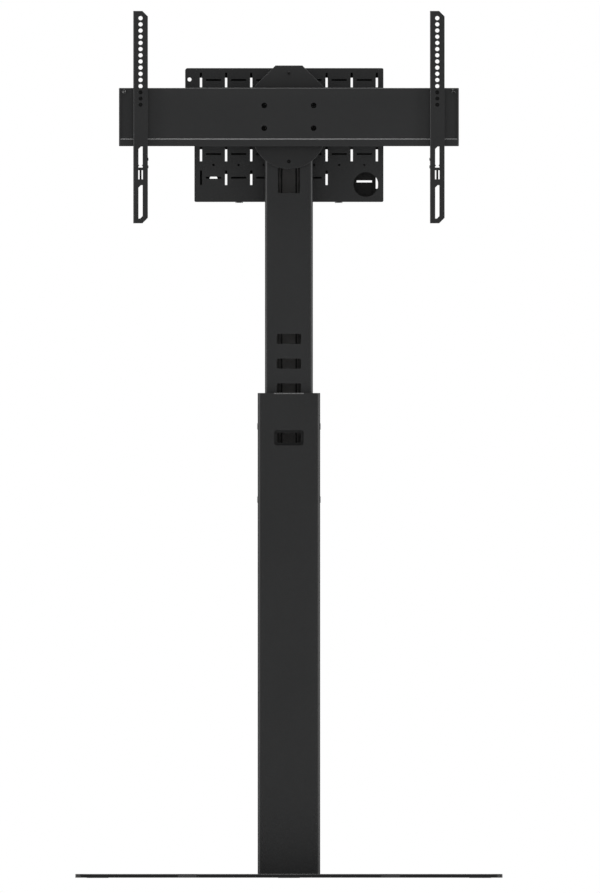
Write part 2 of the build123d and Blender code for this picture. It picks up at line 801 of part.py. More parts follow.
# Crossbar: a hollow section with a hook lip above and a stepped lip below
bar_middle_z = (bar_box_bottom + bar_box_top) / 2
chamber_height = bar_middle_z - bar_box_bottom - 1.5 * bar_wall
chamber_depth = bar_depth - 2 * bar_wall
chamber_y = bar_front + bar_depth / 2
chamber_places = [
    (chamber_y, bar_box_bottom + bar_wall + chamber_height / 2),
    (chamber_y, bar_box_top - bar_wall - chamber_height / 2),
]
with BuildPart() as crossbar:
    with BuildSketch(across(0)) as section:
        with BuildLine():
            Polyline(
                (bar_front - bar_step_proud, bar_bottom_z),
                (bar_front - bar_step_proud, bar_bottom_z + bar_step_height - bar_step_proud),
                (bar_front, bar_bottom_z + bar_step_height),
                (bar_front, bar_top_z),
                (bar_front + bar_wall, bar_top_z),
                (bar_front + bar_wall, bar_box_top),
                (bar_front + bar_depth, bar_box_top),
                (bar_front + bar_depth, bar_box_bottom),
                (bar_front + bar_wall, bar_box_bottom),
                (bar_front + bar_wall, bar_bottom_z),
                close=True,
            )
        make_face()
        lip_top = section.vertices().group_by(Axis.Y)[-1]
        fillet(lip_top, bar_wall * 0.4)
        front_corners = section.vertices().group_by(Axis.X)[0]
        fillet(front_corners, bar_step_proud * 0.25)
        with Locations(*chamber_places):
            Rectangle(chamber_depth, chamber_height, mode=Mode.SUBTRACT)
    extrude(amount=bar_body_length / 2, both=True)
    with BuildSketch(facing(bar_front - 5)):
        with Locations((0, bar_bolt_middle_z)):
            with GridLocations(bar_bolt_spacing_x, bar_bolt_spacing_z, 2, 2):
                RegularPolygon(bar_bolt_access_radius, 2 * screw_sides)
        with Locations((-stop_screw_x, stop_screw_z), (stop_screw_x, stop_screw_z)):
            RegularPolygon(stop_screw_radius + thread_gap, screw_sides)
    extrude(amount=-bar_wall - 8, mode=Mode.SUBTRACT)
    with BuildSketch(facing(bar_front + bar_depth + 1)):
        with Locations((0, bar_bolt_middle_z)):
            with GridLocations(bar_bolt_spacing_x, bar_bolt_spacing_z, 2, 2):
                RegularPolygon(bar_bolt_radius + 0.3, screw_sides)
    extrude(amount=bar_wall + 2, mode=Mode.SUBTRACT)
write_part(crossbar, "crossbar")


def make_bar_cap(side):
    """Moulded cap on one end of the crossbar, with a plug in each chamber."""
    with BuildPart() as cap:
        with BuildSketch(across(side * bar_body_length / 2)):
            with Locations((bar_front + (bar_depth - bar_step_proud) / 2, bar_bottom_z + bar_height / 2)):
                Rectangle(bar_depth + bar_step_proud, bar_height)
        extrude(amount=side * bar_cap_thickness)
        outer_face = cap.faces().filter_by(Axis.X).sort_by(Axis.X)[-1 if side > 0 else 0]
        chamfer(outer_face.edges(), bar_cap_edge)
        with BuildSketch(across(side * bar_body_length / 2)):
            with Locations(*chamber_places):
                Rectangle(chamber_depth - 2 * fixed_gap, chamber_height - 2 * fixed_gap)
                Rectangle(chamber_depth - 4, chamber_height - 4, mode=Mode.SUBTRACT)
        extrude(amount=-side * bar_cap_plug)
    return cap


write_part(make_bar_cap(-1), "bar_cap_left")
write_part(make_bar_cap(1), "bar_cap_right")

# Cap screws that hold the crossbar, sunk behind the access holes in its front wall
seat_y = bar_front + bar_depth - bar_wall
with BuildPart() as bar_bolts:
    with BuildSketch(facing(seat_y)):
        with Locations((0, bar_bolt_middle_z)):
            with GridLocations(bar_bolt_spacing_x, bar_bolt_spacing_z, 2, 2):
                RegularPolygon(bar_bolt_head_radius, hole_sides)
    extrude(amount=bar_bolt_head_height)
    with BuildSketch(facing(seat_y)):
        with Locations((0, bar_bolt_middle_z)):
            with GridLocations(bar_bolt_spacing_x, bar_bolt_spacing_z, 2, 2):
                RegularPolygon(bar_bolt_radius, screw_sides)
    extrude(amount=-bar_wall - head_plate_thickness + 0.2)
    with BuildSketch(facing(seat_y - bar_bolt_head_height)):
        with Locations((0, bar_bolt_middle_z)):
            with GridLocations(bar_bolt_spacing_x, bar_bolt_spacing_z, 2, 2):
                RegularPolygon(bar_bolt_socket / 2, 6, major_radius=False)
    extrude(amount=-bar_bolt_socket_depth, mode=Mode.SUBTRACT)
write_part(bar_bolts, "bar_bolts")

# Screws through the hook lip that keep the rails from sliding off
stop_places = [(-stop_screw_x, stop_screw_z), (stop_screw_x, stop_screw_z)]
with BuildPart() as stop_screws:
    with BuildSketch(facing(bar_front)):
        with Locations(*stop_places):
            RegularPolygon(stop_screw_head_radius, hole_sides)
    extrude(amount=stop_screw_head_height)
    with BuildSketch(facing(bar_front)):
        with Locations(*stop_places):
            RegularPolygon(stop_screw_radius, screw_sides)
    extrude(amount=-stop_screw_reach)
    with BuildSketch(facing(bar_front - stop_screw_head_height)):
        with Locations(*stop_places):
            RegularPolygon(1.5, 6, major_radius=False)
    extrude(amount=-1.6, mode=Mode.SUBTRACT)
write_part(stop_screws, "stop_screws")

# Side profile of the rail's flanges, with the hook above and the latch arm below the crossbar
flange_rear = rail_back + rail_flange_depth
arm_rear = rail_back + rail_arm_depth
arm_top_z = bar_bottom_z - 4
hook_gap_y = bar_front + bar_wall + slide_gap
hook_rear = hook_gap_y + hook_thickness
hook_tip_z = bar_top_z - hook_engagement
hook_top_z = bar_top_z + hook_rise
grip_profile = [
    (arm_rear, rail_arm_bottom_z + rail_arm_taper),
    (arm_rear, arm_top_z),
    (bar_front - bar_step_proud - slide_gap, arm_top_z),
    (bar_front - bar_step_proud - slide_gap, bar_bottom_z + bar_step_height + slide_gap),
    (bar_front - slide_gap, bar_bottom_z + bar_step_height + slide_gap),
    (bar_front - slide_gap, bar_top_z + slide_gap),
    (hook_gap_y, bar_top_z + slide_gap),
    (hook_gap_y, hook_tip_z),
    (hook_rear, hook_tip_z),
    (hook_rear, hook_top_z - 4),
    (hook_rear - 4, hook_top_z),
    (flange_rear, hook_top_z),
]


def make_rail(centre_x, inner_side):
    """Display rail with its hole line at centre_x. Its latch sits on the inner_side flange."""
    left = centre_x - rail_width / 2
    right = centre_x + rail_width / 2
    half_slot = rail_slot_width / 2
    with BuildPart() as rail:
        with BuildSketch(facing(rail_back)):
            with BuildLine():
                Polyline(
                    (left, rail_bottom_z),
                    (left, rail_top_z),
                    (right - rail_corner_cut, rail_top_z),
                    (right, rail_top_z - rail_corner_cut),
                    (right, rail_bottom_z + rail_corner_cut),
                    (right - rail_corner_cut, rail_bottom_z),
                    close=True,
                )
            make_face()
        extrude(amount=rail_sheet)
        with BuildSketch(across(left)):
            with BuildLine():
                Polyline(
                    (rail_back, rail_bottom_z),
                    (flange_rear - 6, rail_bottom_z),
                    (flange_rear, rail_bottom_z + 6),
                    (flange_rear, rail_arm_bottom_z),
                    *grip_profile,
                    (flange_rear, rail_top_z - 6),
                    (flange_rear - 6, rail_top_z),
                    (rail_back, rail_top_z),
                    close=True,
                )
            make_face()
        extrude(amount=rail_sheet)
        with BuildSketch(across(right)):
            with BuildLine():
                Polyline(
                    (rail_back, rail_short_flange_bottom_z),
                    (flange_rear - 4, rail_short_flange_bottom_z),
                    (flange_rear, rail_short_flange_bottom_z + 4),
                    (flange_rear, rail_arm_bottom_z),
                    *grip_profile,
                    (flange_rear, rail_short_flange_top_z - rail_flange_depth),
                    (rail_back, rail_short_flange_top_z),
                    close=True,
                )
            make_face()
        extrude(amount=-rail_sheet)
        bend = rail.edges().filter_by(Axis.Z).group_by(Axis.Y)[0].sort_by(Axis.X)[0]
        fillet(bend, rail_bend_radius)
        tab_side = -inner_side
        tab_x = centre_x + tab_side * (rail_width / 2 - rail_sheet)
        with BuildSketch(Plane.XY.offset(spring_tab_z)):
            with Locations((tab_x - tab_side * spring_tab_width / 2, spring_y)):
                Rectangle(spring_tab_width, spring_tab_depth)
        extrude(amount=-rail_sheet)
        with BuildSketch(facing(rail_front - 1)):
            for row in range(rail_hole_count):
                with Locations((centre_x, rail_first_hole_z - row * rail_hole_pitch)):
                    if row in display_hole_rows:
                        Circle(rail_hole_radius)
                    else:
                        RegularPolygon(rail_hole_radius, screw_sides)
            with BuildLine():
                Polyline(
                    (centre_x - half_slot, upper_slot_bottom_z),
                    (centre_x - half_slot, upper_slot_pinch_z - upper_slot_pinch),
                    (centre_x - half_slot + upper_slot_pinch, upper_slot_pinch_z),
                    (centre_x - half_slot, upper_slot_pinch_z + upper_slot_pinch),
                    (centre_x - half_slot, upper_slot_top_z - rail_slot_cut),
                    (centre_x - half_slot + rail_slot_cut, upper_slot_top_z),
                    (centre_x + half_slot, upper_slot_top_z),
                    (centre_x + half_slot, upper_slot_pinch_z + upper_slot_pinch),
                    (centre_x + half_slot - upper_slot_pinch, upper_slot_pinch_z),
                    (centre_x + half_slot, upper_slot_pinch_z - upper_slot_pinch),
                    (centre_x + half_slot, upper_slot_bottom_z),
                    close=True,
                )
            make_face()
            with BuildLine():
                Polyline(
                    (centre_x - half_slot, lower_slot_bottom_z),
                    (centre_x - half_slot, lower_slot_top_z - rail_slot_cut),
                    (centre_x - half_slot + rail_slot_cut, lower_slot_top_z),
                    (centre_x + half_slot, lower_slot_top_z),
                    (centre_x + half_slot, lower_slot_bottom_z + rail_slot_cut),
                    (centre_x + half_slot - rail_slot_cut, lower_slot_bottom_z),
                    close=True,
                )
            make_face()
            with Locations((centre_x, (pull_opening_bottom_z + pull_opening_top_z) / 2)):
                Rectangle(pull_opening_width, pull_opening_top_z - pull_opening_bottom_z)
        extrude(amount=-rail_sheet - 2, mode=Mode.SUBTRACT)
        with BuildSketch(across(centre_x + inner_side * (rail_width / 2 + 1))):
            with Locations((rivet_y, rivet_lower_z), (rivet_y, rivet_upper_z)):
                RegularPolygon(rivet_radius + fixed_gap, screw_sides)
        extrude(amount=-inner_side * (rail_sheet + 2), mode=Mode.SUBTRACT)
    return rail


def make_latch(centre_x, inner_side):
    """Sliding latch: a plate on the inner flange, an arm across the rail and the pull bar."""
    plate_x = centre_x + inner_side * (rail_width / 2 - rail_sheet - slide_gap)
    far_x = centre_x - inner_side * (rail_width / 2 - rail_sheet - slide_gap)
    nose_top_z = bar_bottom_z + latch_engagement
    body_top_z = arm_top_z - 2
    slot_bottom = rivet_lower_z - rivet_radius - slide_gap
    slot_top = rivet_upper_z + rivet_radius + slide_gap + latch_travel
    with BuildPart() as latch:
        with BuildSketch(across(plate_x)):
            with BuildLine():
                Polyline(
                    (latch_body_front, latch_arm_bottom_z),
                    (latch_body_front, body_top_z),
                    (latch_nose_front, body_top_z),
                    (latch_nose_front, nose_top_z),
                    (latch_nose_front + latch_nose_depth * 0.4, nose_top_z),
                    (latch_nose_front + latch_nose_depth, nose_top_z - latch_nose_depth),
                    (latch_nose_front + latch_nose_depth, body_top_z),
                    (latch_body_front + latch_body_depth, body_top_z),
                    (latch_body_front + latch_body_depth, latch_arm_bottom_z),
                    close=True,
                )
            make_face()
            with Locations((rivet_y, (slot_bottom + slot_top) / 2)):
                Polygon(
                    *rounded_corners(
                        2 * (rivet_radius + slide_gap), slot_top - slot_bottom, rivet_radius
                    ),
                    mode=Mode.SUBTRACT,
                )
        extrude(amount=-inner_side * latch_sheet)
        with BuildSketch(Plane.XY.offset(latch_arm_bottom_z)):
            arm_front = rail_back + slide_gap
            arm_back = latch_body_front + latch_body_depth
            with Locations(((plate_x + far_x) / 2, (arm_front + arm_back) / 2)):
                Rectangle(abs(plate_x - far_x), arm_back - arm_front)
        extrude(amount=latch_sheet)
        with BuildSketch(facing(rail_back + slide_gap)):
            with Locations((centre_x, (latch_pull_bottom_z + latch_arm_bottom_z) / 2)):
                Rectangle(latch_pull_width, latch_arm_bottom_z - latch_pull_bottom_z)
        extrude(amount=-latch_sheet)
    return latch


def make_rivets(centre_x, inner_side):
    """The pair of rivets that guide a latch, headed on both sides of the flange."""
    outer_x = centre_x + inner_side * rail_width / 2
    grip = rail_sheet + 2 * slide_gap + latch_sheet
    places = [(rivet_y, rivet_lower_z), (rivet_y, rivet_upper_z)]
    with BuildPart() as rivets:
        with BuildSketch(across(outer_x)):
            with Locations(*places):
                RegularPolygon(rivet_head_radius, screw_sides)
        extrude(amount=inner_side * rivet_head_height)
        with BuildSketch(across(outer_x)):
            with Locations(*places):
                RegularPolygon(rivet_radius, screw_sides)
        extrude(amount=-inner_side * grip)
        with BuildSketch(across(outer_x - inner_side * grip)):
            with Locations(*places):
                RegularPolygon(rivet_head_radius, screw_sides)
        extrude(amount=-inner_side * rivet_head_height)
    return rivets


def make_spring(centre_x, inner_side):
    """Coil spring that stands on the rail's tab and lifts the latch arm."""
    spring_x = centre_x - inner_side * (rail_width / 2 - rail_sheet - spring_tab_width / 2)
    with BuildPart() as spring:
        with BuildSketch(Plane.XY.offset(spring_tab_z)):
            with Locations((spring_x, spring_y)):
                RegularPolygon(spring_radius, screw_sides)
                RegularPolygon(spring_bore_radius, screw_sides, mode=Mode.SUBTRACT)
        extrude(amount=latch_arm_bottom_z - spring_tab_z)
    return spring


for rail_name, rail_side in (("left", -1), ("right", 1)):
    write_part(make_rail(rail_side * rail_x, -rail_side), f"rail_{rail_name}")
    write_part(make_latch(rail_side * rail_x, -rail_side), f"latch_{rail_name}")
    write_part(make_rivets(rail_side * rail_x, -rail_side), f"latch_rivets_{rail_name}")
    write_part(make_spring(rail_side * rail_x, -rail_side), f"latch_spring_{rail_name}")


def slot_pattern(plane, rows, free_side, last_step, last_cross):
    """Strap slots of one wall of the media box. The lowest row ends early on the free side."""
    with BuildSketch(plane) as pattern:
        for row_z in rows:
            lowest = row_z == rows[-1]
            for step in range(-7, 8, 2):
                if not (lowest and step * free_side > last_step):
                    with Locations((step * slot_pitch / 2, row_z)):
                        Rectangle(slot_width, slot_height)
            for step in range(-3, 4):
                if not (lowest and step * free_side > last_cross):
                    with Locations((step * slot_pitch, row_z)):
                        Rectangle(cross_slot_length, cross_slot_width)
    return pattern.sketch


def padlock_tab(y):
    """Padlock tab at the upper left-hand corner of the media box, with its hole, as a sketch."""
    with BuildSketch(facing(y)) as tab:
        with Locations((-(media_width + tab_width - tab_overlap) / 2, media_top_z - tab_height / 2)):
            Rectangle(tab_width + tab_overlap, tab_height)
        fillet(tab.vertices().group_by(Axis.X)[0], tab_corner)
        with Locations((tab_hole_x, tab_hole_z)):
            Circle(tab_hole_radius, mode=Mode.SUBTRACT)
    return tab.sketch


plate_cuts = slot_pattern(facing(inner_rear - 1), plate_rows_z, 1, 3, 1)
lid_cuts = slot_pattern(facing(lid_rear + 1), lid_rows_z, -1, 5, 2)
plate_tab = padlock_tab(media_plate_rear)
lid_tab = padlock_tab(lid_front + media_sheet)

# Media plate: the fixed front of the box, with the padlock tab and the hinge ears
with BuildPart() as media_plate:
    with BuildSketch(facing(media_plate_rear)):
        with Locations((0, media_middle_z)):
            RectangleRounded(media_width, media_height, media_corner)
    extrude(amount=media_plate_sheet)
    extrude(plate_tab, amount=media_plate_sheet)
    extrude(plate_cuts, amount=-media_plate_sheet - 2, mode=Mode.SUBTRACT)
    with BuildSketch(facing(inner_rear - 1)):
        with Locations((0, plate_screw_middle_z)):
            with GridLocations(plate_screw_spacing_x, plate_screw_spacing_z, 2, 2):
                RegularPolygon(plate_screw_radius + fixed_gap, screw_sides)
        with Locations((cable_hole_x, cable_hole_z)):
            Circle(cable_hole_radius)
        for step in (-3, -2, -1, 1, 2, 3):
            with Locations((step * slot_pitch, plate_small_hole_z)):
                RegularPolygon(small_hole_radius, screw_sides)
    extrude(amount=-media_plate_sheet - 2, mode=Mode.SUBTRACT)
    for side in (-1, 1):
        for ear in (-1, 1):
            ear_x = side * hinge_x + ear * hinge_ear_spacing / 2
            with BuildSketch(across(ear_x - hinge_ear_width / 2)):
                with Locations((hinge_y, hinge_z)):
                    RegularPolygon(hinge_ear_radius, screw_sides)
                Polygon(
                    (media_plate_rear - media_plate_sheet / 2, media_bottom_z),
                    (hinge_y, hinge_z - hinge_ear_radius),
                    (hinge_y, hinge_z + hinge_ear_radius),
                    (media_plate_rear - media_plate_sheet / 2, hinge_z + 2 * hinge_ear_radius),
                    align=None,
                )
                with Locations((hinge_y, hinge_z)):
                    RegularPolygon(
                        hinge_pin_radius + pin_gap, hole_sides, major_radius=False, mode=Mode.SUBTRACT
                    )
            extrude(amount=hinge_ear_width)
write_part(media_plate, "media_plate")

# Media lid: a deep pan hinged at its lower edge, which closes the box from behind
with BuildPart() as media_lid:
    with BuildSketch(facing(lid_rear)):
        with Locations((0, (lid_bottom_z + lid_top_z) / 2)):
            Rectangle(lid_width, lid_top_z - lid_bottom_z)
    extrude(amount=lid_depth)
    fillet(media_lid.faces().sort_by(Axis.Y)[-1].edges(), media_bend_radius)
    offset(amount=-media_sheet, openings=media_lid.faces().sort_by(Axis.Y)[0])
    extrude(lid_cuts, amount=media_sheet + 2, mode=Mode.SUBTRACT)
    with BuildSketch(facing(lid_rear + 1)):
        with Locations((lid_hole_x, lid_hole_z)):
            Circle(lid_hole_radius)
    extrude(amount=media_sheet + 2, mode=Mode.SUBTRACT)
    extrude(lid_tab, amount=media_sheet)
    with BuildSketch(Plane.XY.offset(lid_bottom_z - 1)):
        with Locations((-hinge_x, lid_front), (hinge_x, lid_front)):
            Rectangle(hinge_notch_width, 2 * hinge_notch_depth)
    extrude(amount=media_sheet + 2, mode=Mode.SUBTRACT)
    for side in (-1, 1):
        with BuildSketch(across(side * hinge_x - hinge_knuckle_width / 2)):
            with Locations((hinge_y, hinge_z)):
                RegularPolygon(hinge_knuckle_radius, screw_sides)
            with Locations((hinge_y, lid_bottom_z)):
                Rectangle(
                    lid_front + hinge_notch_depth + 1 - hinge_y,
                    media_sheet,
                    align=(Align.MIN, Align.MIN),
                )
            with Locations((hinge_y, hinge_z)):
                Circle(hinge_pin_radius + pin_gap, mode=Mode.SUBTRACT)
        extrude(amount=hinge_knuckle_width)
write_part(media_lid, "media_lid")

# Hinge pins of the lid
pin_length = hinge_ear_spacing + hinge_ear_width + 0.4
with BuildPart() as hinge_pins:
    for side in (-1, 1):
        with BuildSketch(across(side * hinge_x - pin_length / 2)):
            with Locations((hinge_y, hinge_z)):
                Circle(hinge_pin_radius)
        extrude(amount=pin_length)
write_part(hinge_pins, "hinge_pins")

# Hexagon screws that hold the media plate on the inner column
with BuildPart() as plate_screws:
    with BuildSketch(facing(media_plate_rear)):
        with Locations((0, plate_screw_middle_z)):
            with GridLocations(plate_screw_spacing_x, plate_screw_spacing_z, 2, 2):
                RegularPolygon(plate_screw_head_radius, 6)
    extrude(amount=-plate_screw_head_height)
    with BuildSketch(facing(media_plate_rear)):
        with Locations((0, plate_screw_middle_z)):
            with GridLocations(plate_screw_spacing_x, plate_screw_spacing_z, 2, 2):
                RegularPolygon(plate_screw_radius, screw_sides)
    extrude(amount=media_plate_sheet + inner_wall + 4)
write_part(plate_screws, "plate_screws")
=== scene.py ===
"""Looks of the floor stand: finishes, turned screws, wound springs, rivet domes and studio."""

import logging
import math
from dataclasses import dataclass, field
from enum import Enum
from typing import Any, Iterable, Sequence

import bmesh
import bpy
from mathutils import Matrix, Vector


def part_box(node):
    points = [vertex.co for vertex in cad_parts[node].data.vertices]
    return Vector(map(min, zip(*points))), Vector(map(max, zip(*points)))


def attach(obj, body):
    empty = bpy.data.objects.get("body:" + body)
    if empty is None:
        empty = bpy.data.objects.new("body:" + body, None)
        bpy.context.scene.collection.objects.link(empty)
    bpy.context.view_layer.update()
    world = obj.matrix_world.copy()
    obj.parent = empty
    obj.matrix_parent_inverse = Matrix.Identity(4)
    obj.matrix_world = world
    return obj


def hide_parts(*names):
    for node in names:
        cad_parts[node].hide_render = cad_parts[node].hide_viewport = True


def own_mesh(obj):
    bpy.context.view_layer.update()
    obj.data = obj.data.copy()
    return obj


logging.basicConfig(level=logging.INFO, format="%(message)s")
log = logging.getLogger("stand")

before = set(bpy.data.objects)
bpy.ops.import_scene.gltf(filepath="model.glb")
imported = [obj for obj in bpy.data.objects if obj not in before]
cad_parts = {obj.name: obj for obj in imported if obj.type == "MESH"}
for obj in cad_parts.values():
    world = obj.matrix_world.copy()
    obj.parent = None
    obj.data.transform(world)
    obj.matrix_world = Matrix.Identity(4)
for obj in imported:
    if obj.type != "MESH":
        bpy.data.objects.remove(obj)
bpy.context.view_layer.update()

MM = 0.001

EDGE_GAIN = 5.0
"""How fast the edge mask grows with the lean of the bevelled normal."""

EDGE_SAMPLES = 4
"""Rays with which the bevelled normal is found."""

UPWARD = 0.75
"""Height of a unit normal from which a face counts as facing upwards."""

CREASE_DEG = 32.0
"""Angle between two faces from which their edge stays sharp."""

MIX_FACTOR, MIX_DARK, MIX_LIGHT, MIX_RESULT = 0, 6, 7, 2
"""Places of the sockets that a Mix node uses for colours."""


class Body(Enum):
    """Bodies of the stand that Blender's own pieces ride on."""

    BASE = "base"
    HEAD = "head"
    RAIL_LEFT = "rail_left"
    RAIL_RIGHT = "rail_right"


class Side(Enum):
    """The two display rails. The value is the rail's side of the stand."""

    LEFT = -1
    RIGHT = 1

    @property
    def word(self) -> str:
        """Name used in the nodes of this side."""
        return "left" if self is Side.LEFT else "right"

    @property
    def rail(self) -> Body:
        """Body of this side's rail."""
        return Body.RAIL_LEFT if self is Side.LEFT else Body.RAIL_RIGHT

    @property
    def latch_joint(self) -> str:
        """Joint of this side's latch."""
        return f"latch_{self.word}_slide"


class Tint:
    """A shader socket that works in Python expressions."""

    def __init__(self, shader: "Shader", socket: bpy.types.NodeSocket) -> None:
        """Wraps an output socket.

        Args:
            shader: The shader that owns the socket's node.
            socket: The output socket.
        """
        self.shader = shader
        self.socket = socket

    def _math(self, operation: str, first: Any, second: Any = None, clamp: bool = False) -> "Tint":
        """Adds one Math node.

        Args:
            operation: Blender's name of the operation.
            first: First value or socket.
            second: Second value or socket, where the operation has one.
            clamp: Keeps the result between 0 and 1.

        Returns:
            The node's result.
        """
        values = {0: first} if second is None else {0: first, 1: second}
        settings = {"operation": operation, "use_clamp": clamp}
        return self.shader.node("ShaderNodeMath", settings, values)

    def __add__(self, other: Any) -> "Tint":
        """Sum."""
        return self._math("ADD", self, other)

    def __radd__(self, other: Any) -> "Tint":
        """Sum with the number first."""
        return self._math("ADD", other, self)

    def __sub__(self, other: Any) -> "Tint":
        """Difference."""
        return self._math("SUBTRACT", self, other)

    def __rsub__(self, other: Any) -> "Tint":
        """Difference with the number first."""
        return self._math("SUBTRACT", other, self)

    def __mul__(self, other: Any) -> "Tint":
        """Product."""
        return self._math("MULTIPLY", self, other)

    def __rmul__(self, other: Any) -> "Tint":
        """Product with the number first."""
        return self._math("MULTIPLY", other, self)

    def size(self) -> "Tint":
        """The value without its sign."""
        return self._math("ABSOLUTE", self)

    def clamped(self) -> "Tint":
        """The value kept between 0 and 1."""
        return self._math("ADD", self, 0.0, clamp=True)

    def above(self, level: float) -> "Tint":
        """Mask of 1 where the value is over a level."""
        return self._math("GREATER_THAN", self, level)

    def below(self, level: float) -> "Tint":
        """Mask of 1 where the value is under a level."""
        return self._math("LESS_THAN", self, level)

    def over(self, threshold: float, softness: float) -> "Tint":
        """Soft step that rises from 0 to 1 around a threshold.

        Args:
            threshold: Value at which the step is half way.
            softness: Width of the step.

        Returns:
            The mask.
        """
        return ((self - (threshold - softness / 2)) * (1 / softness)).clamped()

    def mix(self, dark: Any, light: Any) -> "Tint":
        """Mixes two colours by this mask.

        Args:
            dark: Colour where the mask is 0.
            light: Colour where the mask is 1.

        Returns:
            The mixed colour.
        """
        values = {MIX_FACTOR: self, MIX_DARK: dark, MIX_LIGHT: light}
        return self.shader.node("ShaderNodeMix", {"data_type": "RGBA"}, values, MIX_RESULT)


class Shader:
    """Node tree of one material, built by expressions."""

    def __init__(self, name: str) -> None:
        """Starts an empty material.

        Args:
            name: Name of the material.
        """
        self.material = bpy.data.materials.new(name)
        self.material.use_nodes = True
        self.tree = self.material.node_tree
        self.tree.nodes.clear()
        self.place = self.node("ShaderNodeTexCoord", {}, {}, output="Object")

    def node(
        self, kind: str, settings: dict[str, Any], values: dict[Any, Any], output: Any = 0
    ) -> Tint:
        """Adds any node.

        Args:
            kind: Blender's type of the node.
            settings: Properties of the node, set first.
            values: Numbers, colours or sockets for its inputs, by name or index.
            output: Name or index of the output that is returned.

        Returns:
            The chosen output.
        """
        made = self.tree.nodes.new(kind)
        for key, value in settings.items():
            setattr(made, key, value)
        for key, value in values.items():
            if isinstance(value, Tint):
                self.tree.links.new(value.socket, made.inputs[key])
            else:
                made.inputs[key].default_value = value
        return Tint(self, made.outputs[output])

    def part(self, vector: Tint, axis: int) -> Tint:
        """One component of a vector: 0, 1 or 2 for x, y or z."""
        return self.node("ShaderNodeSeparateXYZ", {}, {0: vector}, output=axis)

    def normal(self) -> Tint:
        """The surface's own normal."""
        return self.node("ShaderNodeNewGeometry", {}, {}, output="Normal")

    def lean(self, first: Tint, second: Tint) -> Tint:
        """Dot product of two vectors: 1 for two equal unit vectors, under 0 where they oppose."""
        values = {0: first, 1: second}
        return self.node("ShaderNodeVectorMath", {"operation": "DOT_PRODUCT"}, values, "Value")

    def scaled(self, scale: Sequence[float]) -> Tint:
        """Object coordinates stretched by a factor along each axis."""
        return self.node(
            "ShaderNodeVectorMath", {"operation": "MULTIPLY"}, {0: self.place, 1: tuple(scale)}
        )

    def noise(
        self, size_mm: float, detail: float = 2.0, stretch: Sequence[float] = (1, 1, 1)
    ) -> Tint:
        """Noise around 0.5.

        Args:
            size_mm: Size of its blotches.
            detail: Number of finer layers.
            stretch: Factor on the coordinates along each axis. Under 1 it draws the pattern out.

        Returns:
            The noise value.
        """
        return self.node(
            "ShaderNodeTexNoise",
            {},
            {"Vector": self.scaled(stretch), "Scale": 1 / (size_mm * MM), "Detail": detail},
        )

    def speckle(self, size_mm: float) -> Tint:
        """Distance to the nearest grain of a random scatter."""
        return self.node(
            "ShaderNodeTexVoronoi", {}, {"Vector": self.place, "Scale": 1 / (size_mm * MM)}
        )

    def edges(self, reach_mm: float) -> Tint:
        """Mask of the edges, from how far a bevelled normal leans away from the true one.

        Args:
            reach_mm: Width of the band along each edge.

        Returns:
            Mask that is 1 on sharp edges.
        """
        bevel = self.node("ShaderNodeBevel", {"samples": EDGE_SAMPLES}, {"Radius": reach_mm * MM})
        return ((1 - self.lean(bevel, self.normal())) * EDGE_GAIN).clamped()

    def facing_up(self) -> Tint:
        """Mask of the surfaces that face upwards, where dust settles."""
        return self.part(self.normal(), 2).over(UPWARD, softness=0.4)

    def inside(self, node: str, wall_mm: float, closed: bool) -> Tint:
        """Mask of the inner faces of an upright tube or a box on the stand's middle plane.

        Args:
            node: Name of its CAD node.
            wall_mm: Depth from its outer faces at which the mask starts.
            closed: Leaves out the faces that point away from its middle, as on a box.

        Returns:
            Mask that is 1 on faces deeper than the wall.
        """
        low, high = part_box(node)
        wall = wall_mm * MM
        depth = self.part(self.place, 1)
        mask = self.part(self.place, 0).size().below(high.x - wall)
        mask = mask * depth.above(low.y + wall) * depth.below(high.y - wall)
        if not closed:
            return mask
        middle = (0.0, (low.y + high.y) / 2, (low.z + high.z) / 2)
        away = self.node(
            "ShaderNodeVectorMath", {"operation": "SUBTRACT"}, {0: self.place, 1: middle}
        )
        return mask * self.lean(away, self.normal()).below(0.0)

    def upright_band(self, off_centre_mm: float, width_mm: float) -> Tint:
        """Mask of two upright bands, one on each side of the stand's middle plane.

        Args:
            off_centre_mm: Distance of each band's middle from the middle plane.
            width_mm: Width of each band.

        Returns:
            Mask that is 1 in both bands.
        """
        off_band = self.part(self.place, 0).size() - off_centre_mm * MM
        return off_band.size().below(width_mm * MM / 2)

    def bump(self, height: Tint, depth_mm: float, strength: float, normal: Any = None) -> Tint:
        """Bump from a height value.

        Args:
            height: Height between 0 and 1.
            depth_mm: Depth of the relief.
            strength: Share of the relief that is shown.
            normal: Bump below this one.

        Returns:
            The bent normal.
        """
        values = {"Height": height, "Distance": depth_mm * MM, "Strength": strength}
        if normal is not None:
            values["Normal"] = normal
        return self.node("ShaderNodeBump", {}, values)

    def finish(
        self, base: Any, roughness: Any, metallic: Any, normal: Tint, specular: float = 0.5
    ) -> None:
        """Ends the tree in a Principled shader.

        Args:
            base: Base colour.
            roughness: Roughness.
            metallic: Metallic share.
            normal: Bent normal.
            specular: Strength of the mirror-like share, the same all over.
        """
        surface = self.node(
            "ShaderNodeBsdfPrincipled",
            {},
            {
                "Base Color": base,
                "Roughness": roughness,
                "Metallic": metallic,
                "Normal": normal,
                "Specular IOR Level": specular,
            },
        )
        out = self.tree.nodes.new("ShaderNodeOutputMaterial")
        self.tree.links.new(surface.socket, out.inputs["Surface"])


def grey(value: float, warmth: float = 0.0) -> tuple[float, float, float, float]:
    """Neutral colour.

    Args:
        value: Linear brightness.
        warmth: Shift towards red when positive, towards blue when negative.

    Returns:
        Linear colour with alpha.
    """
    return (value * (1 + warmth), value, value * (1 - warmth), 1.0)


